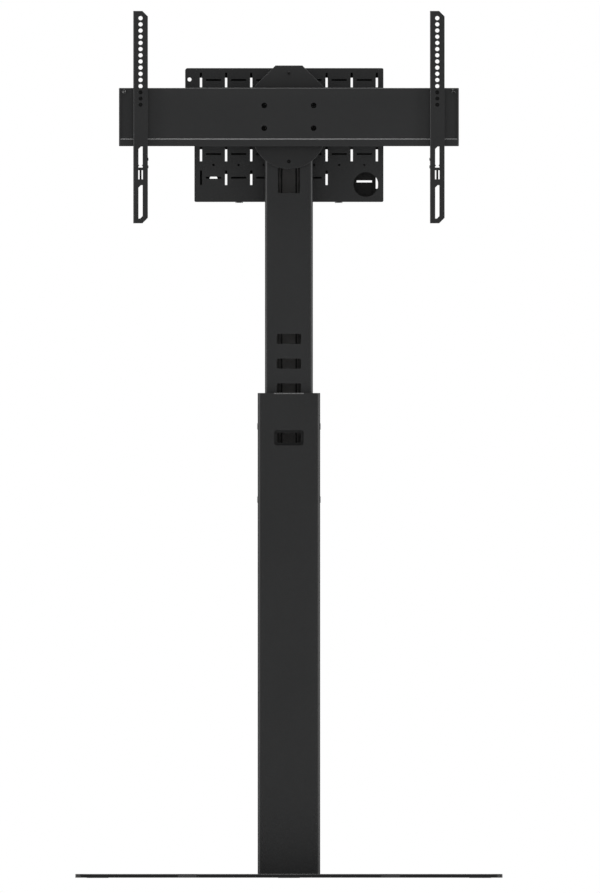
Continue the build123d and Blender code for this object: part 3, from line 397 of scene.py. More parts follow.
@dataclass(frozen=True)
class PowderCoat:
    """Matte black powder coat on sheet, tube or an extrusion, with painted light inside a hollow.

    Attributes:
        name: Name of the material.
        colour: Linear brightness of the coat.
        roughness: Roughness where clouds and grain are at their middle.
        specular: Strength of the mirror-like share.
        cloud_mm: Size of the clouds in colour and sheen.
        cloud_shades: Shares of the colour in a dark and in a light cloud.
        cloud_haze: Roughness that a cloud adds.
        grain_mm: Size of the grain.
        grain_shade: Share of the colour on the grain's tips.
        grain_haze: Roughness that the grain adds.
        middle_haze: Roughness that clouds and grain add on average.
        pit_size: Size of the pits, as a multiple of the grain's.
        relief_mm: Depth of the grain.
        wear: Strength of the rubbed edges.
        worn_edge_mm: Reach of the wear from an edge.
        worn_spot_mm: Size of the worn spots.
        polish: Roughness that rubbing takes away.
        dust: Strength of the dust on faces that look upwards.
        dust_spot_mm: Size of the dusty spots.
        dust_haze: Roughness that dust adds.
        faded: Linear brightness of dust and of rubbed coat.
        draw: Factors on the coordinates that draw the clouds out along a tube or bar.
        hollow: CAD node whose inside faces get painted light, or nothing.
        closed: The hollow is a box, not a tube.
        wall_mm: Depth below the outer faces at which the painted light starts.
        painted_inner_light: Linear brightness painted on the inside faces in place of the light
            that reaches them.
        painted_inner_light_shades: Shares of that painted light in the grain's hollows and on its
            tips.
        shadow_band_mm: Distance of two upright bands of painted shadow from the middle plane, or 0
            for none.
        shadow_band_width_mm: Width of each band of painted shadow.
        shadow_band_colour: Linear brightness of the painted shadow.
    """

    name: str
    colour: float = 0.0060
    roughness: float = 0.40
    specular: float = 0.17
    cloud_mm: float = 90.0
    cloud_shades: tuple[float, float] = (0.88, 1.14)
    cloud_haze: float = 0.12
    grain_mm: float = 0.9
    grain_shade: float = 1.5
    grain_haze: float = 0.10
    middle_haze: float = 0.1
    pit_size: float = 2.2
    relief_mm: float = 0.11
    wear: float = 0.30
    worn_edge_mm: float = 0.9
    worn_spot_mm: float = 7.0
    polish: float = 0.16
    dust: float = 0.12
    dust_spot_mm: float = 38.0
    dust_haze: float = 0.12
    faded: float = 0.06
    draw: tuple[float, float, float] = (1.0, 1.0, 1.0)
    hollow: str = ""
    closed: bool = False
    wall_mm: float = 2.0
    painted_inner_light: float = 0.10
    painted_inner_light_shades: tuple[float, float] = (0.8, 1.2)
    shadow_band_mm: float = 0.0
    shadow_band_width_mm: float = 3.4
    shadow_band_colour: float = 0.0008

    def material(self) -> bpy.types.Material:
        """Builds the material: fine grain, cloudy sheen, rubbed edges, a little dust, and painted
        light in a hollow.

        Returns:
            The material.
        """
        shader = Shader(self.name)
        cloud = shader.noise(self.cloud_mm, detail=3.0, stretch=self.draw)
        grain = shader.noise(self.grain_mm, detail=3.0)
        pits = shader.speckle(self.grain_mm * self.pit_size)
        worn = shader.noise(self.worn_spot_mm, detail=4.0).over(0.46, softness=0.3)
        rub = (shader.edges(self.worn_edge_mm) * worn * self.wear).clamped()
        dusty = shader.noise(self.dust_spot_mm, detail=5.0).over(0.5, softness=0.5)
        settled = (shader.facing_up() * dusty * self.dust).clamped()
        dim, clear = (self.colour * share for share in self.cloud_shades)
        dark, light = grey(dim, warmth=-0.03), grey(clear, warmth=-0.02)
        base = cloud.over(0.5, softness=0.6).mix(dark, light)
        tips = grey(self.colour * self.grain_shade, warmth=-0.02)
        base = grain.over(0.58, softness=0.3).mix(base, tips)
        if self.hollow:
            # Painted light: the inside faces get a lighter colour in place of the light that
            # reaches into the hollow.
            inner_lit = self.paint_inner_light(shader, grain)
            base = shader.inside(self.hollow, self.wall_mm, self.closed).mix(base, inner_lit)
        base = settled.mix(base, grey(self.faded, warmth=0.05))
        base = rub.mix(base, grey(self.faded, warmth=-0.01))
        roughness = self.roughness + cloud * self.cloud_haze + grain * self.grain_haze
        roughness = roughness - rub * self.polish + settled * self.dust_haze - self.middle_haze
        fine = shader.bump(grain, self.relief_mm, strength=0.65)
        normal = shader.bump(pits, self.relief_mm, strength=0.35, normal=fine)
        shader.finish(base, roughness.clamped(), 0.0, normal, self.specular)
        return shader.material

    def paint_inner_light(self, shader: Shader, grain: Tint) -> Tint:
        """Painted light on the inside faces of a hollow, with two bands of painted shadow.

        Args:
            shader: The material's shader.
            grain: The coat's grain.

        Returns:
            The colour.
        """
        dark, light = (grey(self.painted_inner_light * share, warmth=0.02) for share in self.painted_inner_light_shades)
        inner_lit = grain.mix(dark, light)
        if not self.shadow_band_mm:
            return inner_lit
        # Painted shadow: two dark upright bands in place of the shade in the slits inside the
        # tube.
        shadow_band = shader.upright_band(self.shadow_band_mm, self.shadow_band_width_mm)
        return shadow_band.mix(inner_lit, grey(self.shadow_band_colour))


@dataclass(frozen=True)
class MouldedPlastic:
    """Black plastic with a spark-eroded grain.

    Attributes:
        name: Name of the material.
        colour: Linear brightness of the plastic.
        shades: Shares of the colour between and in the flow marks.
        roughness: Least roughness.
        specular: Strength of the mirror-like share.
        flow_mm: Size of the flow marks.
        flow_haze: Roughness that a flow mark adds.
        grain_mm: Size of the grain.
        relief_mm: Depth of the grain.
        wear: Strength of the rubbed corners.
        worn_edge_mm: Reach of the wear from an edge.
        worn_spot_mm: Size of the worn spots.
        polish: Roughness that rubbing takes away.
        faded: Linear brightness of rubbed plastic.
    """

    name: str
    colour: float = 0.006
    shades: tuple[float, float] = (0.9, 1.25)
    roughness: float = 0.40
    specular: float = 0.22
    flow_mm: float = 26.0
    flow_haze: float = 0.16
    grain_mm: float = 0.55
    relief_mm: float = 0.04
    wear: float = 0.5
    worn_edge_mm: float = 0.7
    worn_spot_mm: float = 5.0
    polish: float = 0.1
    faded: float = 0.05

    def material(self) -> bpy.types.Material:
        """Builds the material: even fine grain, soft flow marks and lighter corners.

        Returns:
            The material.
        """
        shader = Shader(self.name)
        grain = shader.speckle(self.grain_mm)
        flow = shader.noise(self.flow_mm, detail=2.0, stretch=(0.35, 1.0, 1.0))
        worn = shader.noise(self.worn_spot_mm, detail=3.0)
        rub = (shader.edges(self.worn_edge_mm) * worn * self.wear).clamped()
        dark, light = (grey(self.colour * share) for share in self.shades)
        base = flow.over(0.5, softness=0.5).mix(dark, light)
        base = rub.mix(base, grey(self.faded))
        roughness = self.roughness + flow * self.flow_haze - rub * self.polish
        normal = shader.bump(grain, self.relief_mm, strength=0.45)
        shader.finish(base, roughness.clamped(), 0.0, normal, self.specular)
        return shader.material


@dataclass(frozen=True)
class BlackOxide:
    """Blackened screw steel with turning marks, bare steel where it has rubbed, and optional
    painted glints.

    Attributes:
        name: Name of the material.
        colour: Linear brightness of the oxide.
        blotch_shade: Share of the colour in a light blotch.
        roughness: Least roughness.
        metallic: Metallic share of the oxide.
        specular: Strength of the mirror-like share.
        blotch_mm: Size of the blotches.
        blotch_haze: Roughness that a blotch adds.
        turning_mm: Width of the turning marks.
        turning_haze: Roughness that a turning mark adds.
        relief_mm: Depth of the turning marks.
        wear: Strength of the rubbed edges.
        worn_edge_mm: Reach of the wear from an edge.
        bright: Linear brightness of the bare steel on rubbed edges and of the painted glints.
        bright_metal: Metallic share that rubbing adds.
        painted_glint_share: Share of the faces that gets painted glints, or 0 for none.
        painted_glint_strength: Strength of the painted glints on faces.
    """

    name: str
    colour: float = 0.006
    blotch_shade: float = 1.7
    roughness: float = 0.36
    metallic: float = 0.25
    specular: float = 0.10
    blotch_mm: float = 2.4
    blotch_haze: float = 0.18
    turning_mm: float = 0.5
    turning_haze: float = 0.08
    relief_mm: float = 0.02
    wear: float = 0.75
    worn_edge_mm: float = 0.35
    bright: float = 0.26
    bright_metal: float = 0.7
    painted_glint_share: float = 0.0
    painted_glint_strength: float = 0.9

    def material(self) -> bpy.types.Material:
        """Builds the material: dark oxide, blotched sheen, steel on rubbed edges, and spots of
        painted glint.

        Returns:
            The material.
        """
        shader = Shader(self.name)
        blotch = shader.noise(self.blotch_mm, detail=4.0)
        marks = shader.noise(self.turning_mm, detail=2.0, stretch=(1.0, 0.15, 1.0))
        worn = blotch.over(0.42, softness=0.3)
        rub = (shader.edges(self.worn_edge_mm) * worn * self.wear).clamped()
        # Painted highlight: bright spots stand in for glints and are added to the rubbed edges'
        # mask.
        if self.painted_glint_share:
            spots = blotch.over(0.62 - self.painted_glint_share / 4, softness=0.10)
            rub = (rub + spots * self.painted_glint_strength).clamped()
        dark = grey(self.colour, warmth=-0.06)
        light = grey(self.colour * self.blotch_shade, warmth=0.04)
        base = blotch.over(0.5, softness=0.4).mix(dark, light)
        base = rub.mix(base, grey(self.bright))
        roughness = self.roughness + blotch * self.blotch_haze + marks * self.turning_haze
        normal = shader.bump(marks, self.relief_mm, strength=0.4)
        metallic = (rub * self.bright_metal + self.metallic).clamped()
        shader.finish(base, roughness.clamped(), metallic, normal, self.specular)
        return shader.material


@dataclass(frozen=True)
class PlatedSteel:
    """Zinc-plated steel, from dull to bright, and bare spring wire.

    Attributes:
        name: Name of the material.
        colour: Linear brightness of the metal.
        spangle_shades: Shares of the colour in bright and in dull spangles.
        mark_shade: Share of the colour in a handling mark.
        roughness: Roughness where lines and marks are at their middle.
        metallic: Metallic share.
        spangle_mm: Size of the zinc's spangle.
        drawing_mm: Width of the drawing lines.
        drawing_haze: Roughness that a drawing line adds.
        relief_mm: Depth of the drawing lines.
        handling_mm: Size of the handling marks.
        handling_haze: Roughness that a handling mark adds.
        middle_haze: Roughness that lines and marks add on average.
    """

    name: str
    colour: float = 0.42
    spangle_shades: tuple[float, float] = (1.1, 0.82)
    mark_shade: float = 0.6
    roughness: float = 0.34
    metallic: float = 0.95
    spangle_mm: float = 3.0
    drawing_mm: float = 0.6
    drawing_haze: float = 0.14
    relief_mm: float = 0.015
    handling_mm: float = 14.0
    handling_haze: float = 0.14
    middle_haze: float = 0.08

    def material(self) -> bpy.types.Material:
        """Builds the material: faint spangle, drawing lines and handling marks.

        Returns:
            The material.
        """
        shader = Shader(self.name)
        spangle = shader.speckle(self.spangle_mm)
        lines = shader.noise(self.drawing_mm, detail=2.0, stretch=(1.0, 1.0, 0.06))
        marks = shader.noise(self.handling_mm, detail=5.0)
        bright, dull = (self.colour * share for share in self.spangle_shades)
        base = spangle.over(0.45, softness=0.7).mix(
            grey(bright, warmth=-0.02), grey(dull, warmth=0.02)
        )
        mark = grey(self.colour * self.mark_shade, warmth=0.03)
        base = marks.over(0.62, softness=0.2).mix(base, mark)
        roughness = self.roughness + lines * self.drawing_haze
        roughness = roughness + marks * self.handling_haze - self.middle_haze
        normal = shader.bump(lines, self.relief_mm, strength=0.5)
        shader.finish(base, roughness.clamped(), self.metallic, normal)
        return shader.material


@dataclass(frozen=True)
class PadRubber:
    """Anti-slip rubber.

    Attributes:
        name: Name of the material.
        colour: Linear brightness of the rubber.
        roughness: Least roughness.
        grain_mm: Size of the grain.
        grain_haze: Roughness that the grain adds.
        relief_mm: Depth of the grain.
        scuffed_edge_mm: Reach of the scuffing from an edge.
        scuff_mm: Size of the scuffed spots.
        faded: Linear brightness of scuffed rubber.
    """

    name: str
    colour: float = 0.014
    roughness: float = 0.78
    grain_mm: float = 0.7
    grain_haze: float = 0.16
    relief_mm: float = 0.06
    scuffed_edge_mm: float = 1.2
    scuff_mm: float = 6.0
    faded: float = 0.07

    def material(self) -> bpy.types.Material:
        """Builds the material: dull, slightly grey where it has rubbed on the floor.

        Returns:
            The material.
        """
        shader = Shader(self.name)
        grain = shader.noise(self.grain_mm, detail=4.0)
        spots = shader.noise(self.scuff_mm, detail=4.0)
        scuff = (shader.edges(self.scuffed_edge_mm) * spots).clamped()
        base = scuff.mix(grey(self.colour), grey(self.faded, warmth=0.05))
        roughness = self.roughness + grain * self.grain_haze
        normal = shader.bump(grain, self.relief_mm, strength=0.5)
        shader.finish(base, roughness.clamped(), 0.0, normal)
        return shader.material


ALONG_TUBE = (1.0, 1.0, 0.35)
"""Draws a pattern out along an upright tube."""

ALONG_BAR = (0.12, 1.0, 1.0)
"""Draws a pattern out along the crossbar."""


class Finish(Enum):
    """Finishes of the stand's pieces."""

    # Painted light on the tube's inside faces.
    OUTER_TUBE = PowderCoat(
        "coat_outer_tube", draw=ALONG_TUBE, hollow="outer_column", wall_mm=2.5
    )
    # Painted light inside the tube, with two upright bands of painted shadow.
    INNER_TUBE = PowderCoat(
        "coat_inner_tube",
        colour=0.0085,
        specular=0.14,
        draw=ALONG_TUBE,
        hollow="inner_column",
        painted_inner_light=0.088,
        shadow_band_mm=15.0,
    )
    SHEET = PowderCoat("coat_sheet", grain_mm=0.8)
    BOX = PowderCoat("coat_media_plate", colour=0.0074, specular=0.16, grain_mm=0.8)
    # Painted light on the lid's inside faces.
    LID = PowderCoat(
        "coat_media_lid",
        colour=0.0074,
        specular=0.16,
        grain_mm=0.8,
        hollow="media_lid",
        closed=True,
        wall_mm=1.0,
        painted_inner_light=0.02,
    )
    FLOOR_PLATE = PowderCoat(
        "coat_floor_plate", colour=0.0012, specular=0.13, grain_mm=1.1, dust=0.07, wear=0.10
    )
    EXTRUSION = PowderCoat(
        "coat_extrusion", colour=0.0070, grain_mm=0.7, relief_mm=0.07, draw=ALONG_BAR
    )
    # Darker than the other coats: partly the latch's own black, partly painted shade for the
    # shadow along its edge.
    DARK_SHADED_LATCH = PowderCoat("coat_latch_painted_shade", colour=0.0015, specular=0.06, grain_mm=0.5, wear=0.1)
    PLASTIC = MouldedPlastic("moulded_black")
    BUSH = MouldedPlastic("moulded_bush", colour=0.022, roughness=0.34, specular=0.45)
    SCREW = BlackOxide("black_oxide")
    SUNK_SCREW = BlackOxide(
        "dull_oxide", colour=0.003, metallic=0.0, specular=0.06, bright=0.10
    )
    # Partly real wear, partly painted highlight: brighter rubbed edges and bright spots stand in
    # for glints.
    WORN_GLINTING_SCREW = BlackOxide("worn_oxide_painted_glints", colour=0.003, bright=0.45, painted_glint_share=0.12)
    ZINC = PlatedSteel("zinc_plate")
    SPRING = PlatedSteel("spring_steel", colour=0.30, roughness=0.26, spangle_mm=1.2)
    RUBBER = PadRubber("pad_rubber")


class Paintshop:
    """Makes each finish once and puts it on nodes and pieces."""

    def __init__(self) -> None:
        """Starts with no material made."""
        self._made: dict[Finish, bpy.types.Material] = {}

    def coat(self, obj: bpy.types.Object, finish: Finish) -> None:
        """Gives an object one finish all over.

        Args:
            obj: A CAD node or a piece.
            finish: The finish.
        """
        if finish not in self._made:
            self._made[finish] = finish.value.material()
        obj.data.materials.clear()
        obj.data.materials.append(self._made[finish])

    def coat_nodes(self, names: Iterable[str], finish: Finish) -> None:
        """Gives several CAD nodes one finish.

        Args:
            names: Names of the nodes.
            finish: The finish.
        """
        for name in names:
            self.coat(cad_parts[name], finish)
            log.info("node %s: %s", name, finish.value.name)


def piece_from(bm: bmesh.types.BMesh, name: str) -> bpy.types.Object:
    """Turns a bmesh into an object at the origin, smooth except at its creases.

    Args:
        bm: The mesh, which is freed.
        name: Name of the object.

    Returns:
        The object.
    """
    bmesh.ops.recalc_face_normals(bm, faces=bm.faces)
    for face in bm.faces:
        face.smooth = True
    for edge in bm.edges:
        edge.smooth = edge.calc_face_angle(0.0) < math.radians(CREASE_DEG)
    mesh = bpy.data.meshes.new(name)
    bm.to_mesh(mesh)
    bm.free()
    obj = bpy.data.objects.new(name, mesh)
    bpy.context.scene.collection.objects.link(obj)
    return obj


@dataclass(frozen=True)
class Outline:
    """One closed outline of a stacked form, in millimetres."""

    radius: float
    height: float
    sides: int = 48


def stack(
    bm: bmesh.types.BMesh, outlines: Sequence[Outline], place: Matrix, bored: bool = False
) -> None:
    """Joins outlines one after the other into a closed form.

    Args:
        bm: The mesh that gets the form.
        outlines: The outlines, in order from the first end to the last. The largest count of
            sides is a multiple of each other count.
        place: Where the form's own upright axis goes.
        bored: Joins the last outline to the first in place of closing both ends.
    """
    most = max(outline.sides for outline in outlines)
    loops = []
    for outline in outlines:
        lift = Matrix.Translation((0, 0, outline.height * MM))
        ring = bmesh.ops.create_circle(
            bm,
            cap_ends=False,
            segments=outline.sides,
            radius=outline.radius * MM,
            matrix=place @ lift,
        )
        edges = list({edge for vert in ring["verts"] for edge in vert.link_edges})
        if outline.sides < most:
            cut = bmesh.ops.subdivide_edges(bm, edges=edges, cuts=most // outline.sides - 1)
            edges = [item for item in cut["geom"] if isinstance(item, bmesh.types.BMEdge)]
        loops.append(edges)
    for first, second in zip(loops, loops[1:]):
        bmesh.ops.bridge_loops(bm, edges=first + second)
    if bored:
        bmesh.ops.bridge_loops(bm, edges=loops[-1] + loops[0])
    else:
        bmesh.ops.edgeloop_fill(bm, edges=loops[0])
        bmesh.ops.edgeloop_fill(bm, edges=loops[-1])


WELD = 0.001 * MM
"""Distance under which two corners of a CAD mesh are one."""

TIP = 0.01 * MM
"""Height above a screw's tip up to which corners belong to its end."""

HEAD_SHARE = 0.9
"""Share of the head's radius from which a corner belongs to the head."""


@dataclass(frozen=True)
class Turning:
    """Measures of one screw-like CAD solid along its axis, in millimetres from its outer end."""

    place: Matrix
    head_radius: float
    head_height: float
    shank_radius: float
    length: float


def turnings(node: str, out: Sequence[float], by_side: bool = False) -> list[Turning]:
    """Measures every solid of a CAD node that holds screws.

    Args:
        node: Name of the node.
        out: Direction from the tip to the head.
        by_side: Turns the direction round for the solids on the stand's left.

    Returns:
        One entry for each solid.
    """
    bm = bmesh.new()
    bm.from_mesh(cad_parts[node].data)
    bmesh.ops.remove_doubles(bm, verts=bm.verts, dist=WELD)
    found = []
    left = set(bm.verts)
    while left:
        reached = [left.pop()]
        for vert in reached:
            near = {edge.other_vert(vert) for edge in vert.link_edges} & left
            left -= near
            reached.extend(near)
        corners = [vert.co.copy() for vert in reached]
        low = Vector(min(corner[axis] for corner in corners) for axis in range(3))
        high = Vector(max(corner[axis] for corner in corners) for axis in range(3))
        centre = (low + high) / 2
        axis = Vector(out) * (-1 if by_side and centre.x < 0 else 1)
        along = [(corner - centre).dot(axis) for corner in corners]
        off = [((corner - centre) - axis * step).length for corner, step in zip(corners, along)]
        top, tip, widest = max(along), min(along), max(off)
        under = min(step for step, reach in zip(along, off) if reach > HEAD_SHARE * widest)
        shank = max(reach for step, reach in zip(along, off) if step < tip + TIP)
        turn = axis.to_track_quat("Z", "Y").to_matrix().to_4x4()
        place = Matrix.Translation(centre + axis * top) @ turn
        found.append(Turning(place, widest / MM, (top - under) / MM, shank / MM, (top - tip) / MM))
    bm.free()
    return found


HEXAGON = 6
"""Sides of a socket or a hexagon head."""

SOCKET_SHARE = 0.55
"""Hexagon socket's corner radius and depth, as a share of the head's radius and height."""

GRUB_SOCKET_MM = 4.0
"""Depth of a set screw's socket."""

TIP_CHAMFER_MM = 0.5
"""Chamfer at a screw's tip."""

RIM_CHAMFER_MM = 0.4
"""Largest chamfer round a head's outer rim."""

RIM_SHARE = 0.1
"""Share of the head's radius that its rim chamfer stays under."""

CROWN_SHARE = 0.82
"""Radius of a hexagon head's flat crown, as a share of its corner radius."""

INSERT_BORE_MM = 4.05
"""Radius of an insert's bore."""

INSERT_BODY_MM = 4.7
"""Radius of an insert's body behind its flange."""

BUTTON_DOME = ((0.70, 0.0), (0.88, 0.16), (0.97, 0.42), (1.0, 0.75))
"""A button head's radii and depths, as shares of the head's radius and height."""


class Head(Enum):
    """Forms of the stand's screws and inserts."""

    CAP = "cap"
    BUTTON = "button"
    HEXAGON = "hexagon"
    GRUB = "grub"
    FLANGED_NUT = "flanged_nut"

    def outlines(self, screw: Turning) -> list[Outline]:
        """Outlines of this form in the size of one CAD solid.

        Args:
            screw: The solid's measures.

        Returns:
            The outlines, from the socket's floor to the tip.
        """
        radius, height, shank = screw.head_radius, screw.head_height, screw.shank_radius
        rim = min(RIM_CHAMFER_MM, radius * RIM_SHARE)
        end = TIP_CHAMFER_MM
        foot = [Outline(shank, -screw.length + end), Outline(shank - end, -screw.length)]
        key = radius * SOCKET_SHARE
        if self is Head.GRUB:
            socket = [Outline(key, -GRUB_SOCKET_MM, HEXAGON), Outline(key, 0, HEXAGON)]
            return socket + [Outline(radius - rim, 0), Outline(radius, -rim)] + foot
        if self is Head.HEXAGON:
            crown = [Outline(radius * CROWN_SHARE, 0), Outline(radius, -rim, HEXAGON)]
            return crown + [Outline(radius, -height, HEXAGON), Outline(shank, -height)] + foot
        if self is Head.FLANGED_NUT:
            bore, body = INSERT_BORE_MM, INSERT_BODY_MM
            flange = [Outline(bore, 0), Outline(radius - rim, 0), Outline(radius, -rim)]
            neck = [Outline(radius, -height), Outline(body, -height)]
            return flange + neck + [Outline(body, -screw.length), Outline(bore, -screw.length)]
        floor = -height * SOCKET_SHARE
        socket = [Outline(key, floor, HEXAGON), Outline(key, 0, HEXAGON)]
        if self is Head.BUTTON:
            side = [Outline(radius * wide, -height * deep) for wide, deep in BUTTON_DOME]
        else:
            side = [Outline(radius - rim, 0), Outline(radius, -rim)]
        return socket + side + [Outline(radius, -height), Outline(shank, -height)] + foot


@dataclass
class ScrewSet:
    """The equal screws or inserts of one CAD node, with round heads and hexagon sockets."""

    node: str
    body: Body
    head: Head
    out: tuple[float, float, float]
    finish: Finish
    slot: str = "black_screws"
    by_side: bool = False
    built: bpy.types.Object = field(init=False, default=None)

    def build(self) -> bpy.types.Object:
        """Turns each screw in the size and place of its CAD solid.

        Returns:
            The screws as one piece.
        """
        bm = bmesh.new()
        for screw in turnings(self.node, self.out, self.by_side):
            stack(bm, self.head.outlines(screw), screw.place, self.head is Head.FLANGED_NUT)
        self.built = piece_from(bm, f"{self.node}_turned")
        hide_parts(self.node)
        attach(self.built, self.body.value)
        return self.built

    def dress(self, shop: Paintshop) -> None:
        """Gives the screws their finish."""
        shop.coat(self.built, self.finish)
        log.info("piece %s: %s heads", self.built.name, self.head.value)


@dataclass
class LatchSpring:
    """Wound compression spring that lifts one latch."""

    side: Side
    wire_radius: float = 0.42 * MM
    turns: int = 9
    steps_per_turn: int = 28
    wire_sides: int = 10
    travel: float = 10.0 * MM
    built: bpy.types.Object = field(init=False, default=None)

    def build(self) -> bpy.types.Object:
        """Winds the wire between the ends of the CAD spring.

        Returns:
            The coil.
        """
        low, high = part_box(f"latch_spring_{self.side.word}")
        centre = (low + high) / 2
        coil_radius = (high.x - low.x) / 2 - self.wire_radius
        rise = high.z - low.z - 2 * self.wire_radius
        steps = self.turns * self.steps_per_turn
        bm = bmesh.new()
        ring = bmesh.ops.create_circle(
            bm, cap_ends=True, radius=self.wire_radius, segments=self.wire_sides
        )
        place = Matrix.Translation((centre.x + coil_radius, centre.y, low.z + self.wire_radius))
        upright = Matrix.Rotation(math.pi / 2, 4, "X")
        bmesh.ops.transform(bm, matrix=place @ upright, verts=ring["verts"])
        bmesh.ops.spin(
            bm,
            geom=list(bm.faces) + list(bm.edges) + list(bm.verts),
            cent=(centre.x, centre.y, low.z),
            axis=(0, 0, 1),
            dvec=(0, 0, rise / steps),
            angle=2 * math.pi * self.turns,
            steps=steps,
            use_merge=False,
        )
        self.built = piece_from(bm, f"spring_coil_{self.side.word}")
        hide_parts(f"latch_spring_{self.side.word}")
        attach(self.built, self.side.rail.value)
        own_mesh(self.built)
        return self.built

    def dress(self, shop: Paintshop) -> None:
        """Gives the coil its finish."""
        shop.coat(self.built, Finish.SPRING)
        log.info("piece %s: %d turns", self.built.name, self.turns)


@dataclass
class RivetDomes:
    """Formed heads on the outside of one rail's two rivets."""

    side: Side
    rise: float = 0.45 * MM
    cover: float = 0.97
    segments: int = 24
    built: bpy.types.Object = field(init=False, default=None)

    def build(self) -> bpy.types.Object:
        """Raises a flat dome on each rivet's disc.

        Returns:
            The domes as one piece.
        """
        low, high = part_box(f"latch_rivets_{self.side.word}")
        radius = (high.y - low.y) / 2
        inward = -self.side.value
        face_x = high.x if inward > 0 else low.x
        centre_y = (low.y + high.y) / 2
        lay = Matrix.Rotation(math.pi / 2, 4, "Y")
        flatten = Matrix.Diagonal((self.rise / radius, 1.0, 1.0, 1.0))
        bm = bmesh.new()
        for height in (low.z + radius, high.z - radius):
            ball = bmesh.ops.create_uvsphere(
                bm,
                u_segments=self.segments,
                v_segments=self.segments // 2,
                radius=radius * self.cover,
            )
            place = Matrix.Translation((face_x, centre_y, height))
            bmesh.ops.transform(bm, matrix=place @ flatten @ lay, verts=ball["verts"])
        self.built = piece_from(bm, f"rivet_domes_{self.side.word}")
        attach(self.built, self.side.rail.value)
        return self.built

    def dress(self, shop: Paintshop) -> None:
        """Gives the domes their finish."""
        shop.coat(self.built, Finish.SCREW)
        log.info("piece %s", self.built.name)


@dataclass
class FloorStand:
    """The whole stand: its CAD nodes by finish, and the pieces that Blender adds."""

    shop: Paintshop
    sheets: tuple[str, ...] = (
        "head_plate", "head_doubler", "foot_plate", "rail_left", "rail_right",
    )
    plastics: tuple[str, ...] = (
        "glide_shoe", "outlet_frame", "column_cap", "bar_cap_left", "bar_cap_right",
    )
    screws: tuple[str, ...] = (
        "clamp_inserts", "clamp_screws", "head_screws", "bar_bolts", "plate_screws",
        "latch_rivets_left", "latch_rivets_right",
    )
    bare: tuple[str, ...] = (
        "foot_bolts", "glide_screws", "clamp_bar_left", "clamp_bar_right", "hinge_pins",
    )

    def dress(self) -> None:
        """Finishes every CAD node, also the screws and springs that a fuller piece stands for."""
        self.shop.coat_nodes(("outer_column",), Finish.OUTER_TUBE)
        self.shop.coat_nodes(("inner_column",), Finish.INNER_TUBE)
        self.shop.coat_nodes(("media_plate",), Finish.BOX)
        self.shop.coat_nodes(("media_lid",), Finish.LID)
        self.shop.coat_nodes(self.sheets, Finish.SHEET)
        self.shop.coat_nodes(("base_plate",), Finish.FLOOR_PLATE)
        self.shop.coat_nodes(("crossbar",), Finish.EXTRUSION)
        self.shop.coat_nodes(self.plastics, Finish.PLASTIC)
        self.shop.coat_nodes(("guide_bush",), Finish.BUSH)
        self.shop.coat_nodes(("latch_left", "latch_right"), Finish.DARK_SHADED_LATCH)
        self.shop.coat_nodes(self.screws, Finish.SCREW)
        self.shop.coat_nodes(("stop_screws",), Finish.WORN_GLINTING_SCREW)
        self.shop.coat_nodes(self.bare, Finish.ZINC)
        self.shop.coat_nodes(("latch_spring_left", "latch_spring_right"), Finish.SPRING)
        self.shop.coat_nodes(("floor_pads",), Finish.RUBBER)

    def screw_sets(self) -> list[ScrewSet]:
        """Lists the screws and inserts that are turned in their true form."""
        front, rear, down, side = (0, -1, 0), (0, 1, 0), (0, 0, -1), (1, 0, 0)
        head, base = Body.HEAD, Body.BASE
        return [
            ScrewSet("head_screws", head, Head.BUTTON, front, Finish.SUNK_SCREW),
            ScrewSet("bar_bolts", head, Head.CAP, front, Finish.SCREW),
            ScrewSet("stop_screws", head, Head.CAP, front, Finish.WORN_GLINTING_SCREW),
            ScrewSet("plate_screws", head, Head.HEXAGON, rear, Finish.SCREW),
            ScrewSet("foot_bolts", base, Head.CAP, down, Finish.ZINC, "bare_steel"),
            ScrewSet("clamp_screws", base, Head.GRUB, side, Finish.SCREW, by_side=True),
            ScrewSet("clamp_inserts", base, Head.FLANGED_NUT, side, Finish.SCREW, by_side=True),
        ]

    def build(self) -> None:
        """Makes the turned screws, and the wound and domed pieces of both rails."""
        for piece in self.screw_sets():
            piece.build()
            piece.dress(self.shop)
        for side in Side:
            for piece in (LatchSpring(side), RivetDomes(side)):
                piece.build()
                piece.dress(self.shop)


@dataclass(frozen=True)
class Lamp:
    """A soft rectangular light: place and size in metres, power in watts."""

    name: str
    place: tuple[float, float, float]
    size: tuple[float, float]
    power: float


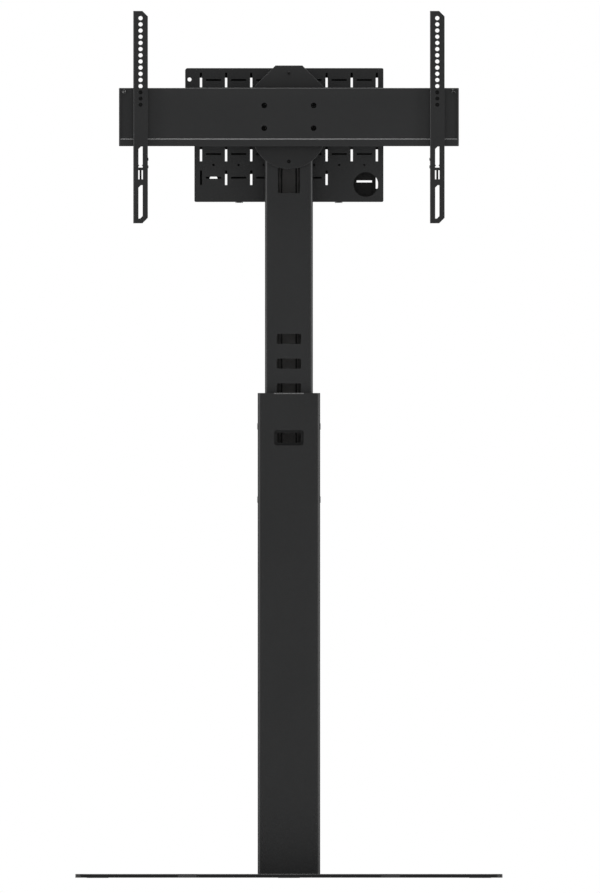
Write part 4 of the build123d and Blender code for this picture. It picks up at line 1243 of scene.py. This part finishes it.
@dataclass
class Studio:
    """Pale floor, soft lights and the straight front camera."""

    lamps: tuple[Lamp, ...] = (
        Lamp("overhead", (0.0, -0.15, 3.4), (2.2, 0.8), 150.0),
        Lamp("left_strip", (-3.2, -1.0, 1.0), (0.5, 2.8), 100.0),
        Lamp("right_strip", (3.2, -1.0, 1.0), (0.5, 2.8), 120.0),
    )
    lamp_aim: tuple[float, float, float] = (0, 0, 0.9)
    white: tuple[float, float, float, float] = (1.0, 1.0, 1.0, 1.0)
    sky: float = 1.0
    floor_size: float = 60.0
    floor_cloud_mm: float = 600.0
    floor_tones: tuple[float, float] = (0.80, 0.84)
    floor_roughness: float = 0.7
    floor_relief_mm: float = 0.01
    pixel: float = 2.022 * MM
    image_height: int = 893
    view_centre_x: float = 22.4 * MM
    view_centre_z: float = 872.4 * MM
    camera_distance: float = 4.0

    def lay_floor(self) -> None:
        """Lays the pale floor just under the pads."""
        bm = bmesh.new()
        bmesh.ops.create_grid(bm, x_segments=1, y_segments=1, size=self.floor_size / 2)
        floor = piece_from(bm, "studio_floor")
        shader = Shader("pale_floor")
        cloud = shader.noise(self.floor_cloud_mm, detail=2.0)
        dark, light = self.floor_tones
        base = cloud.mix(grey(dark), grey(light))
        normal = shader.bump(cloud, self.floor_relief_mm, strength=0.1)
        shader.finish(base, self.floor_roughness, 0.0, normal)
        floor.data.materials.append(shader.material)

    def hang(self, lamp: Lamp) -> None:
        """Adds one lamp that points at the middle of the stand.

        Args:
            lamp: The lamp.
        """
        data = bpy.data.lights.new(lamp.name, "AREA")
        data.shape = "RECTANGLE"
        data.size, data.size_y = lamp.size
        data.energy = lamp.power
        light = bpy.data.objects.new(lamp.name, data)
        light.location = lamp.place
        aim = Vector(self.lamp_aim) - Vector(lamp.place)
        light.rotation_mode = "QUATERNION"
        light.rotation_quaternion = aim.to_track_quat("-Z", "Y")
        bpy.context.scene.collection.objects.link(light)

    def light(self) -> None:
        """Sets an even white surround, an overhead light and a tall strip on each side."""
        world = bpy.data.worlds.new("studio_surround")
        bpy.context.scene.world = world
        world.use_nodes = True
        surround = world.node_tree.nodes["Background"]
        surround.inputs["Color"].default_value = self.white
        surround.inputs["Strength"].default_value = self.sky
        for lamp in self.lamps:
            self.hang(lamp)

    def set_camera(self) -> None:
        """Places the orthographic camera straight in front, framed as the photograph is."""
        data = bpy.data.cameras.new("front_view")
        data.type = "ORTHO"
        data.ortho_scale = self.image_height * self.pixel
        camera = bpy.data.objects.new("front_view", data)
        camera.location = (self.view_centre_x, -self.camera_distance, self.view_centre_z)
        camera.rotation_euler = (math.pi / 2, 0, 0)
        bpy.context.scene.collection.objects.link(camera)
        bpy.context.scene.camera = camera
        bpy.context.scene.view_settings.view_transform = "Standard"

    def build(self) -> None:
        """Sets up the whole studio."""
        self.lay_floor()
        self.light()
        self.set_camera()


def main() -> None:
    """Builds the stand and its studio."""
    stand = FloorStand(Paintshop())
    stand.dress()
    stand.build()
    Studio().build()


if __name__ == "__main__":
    main()
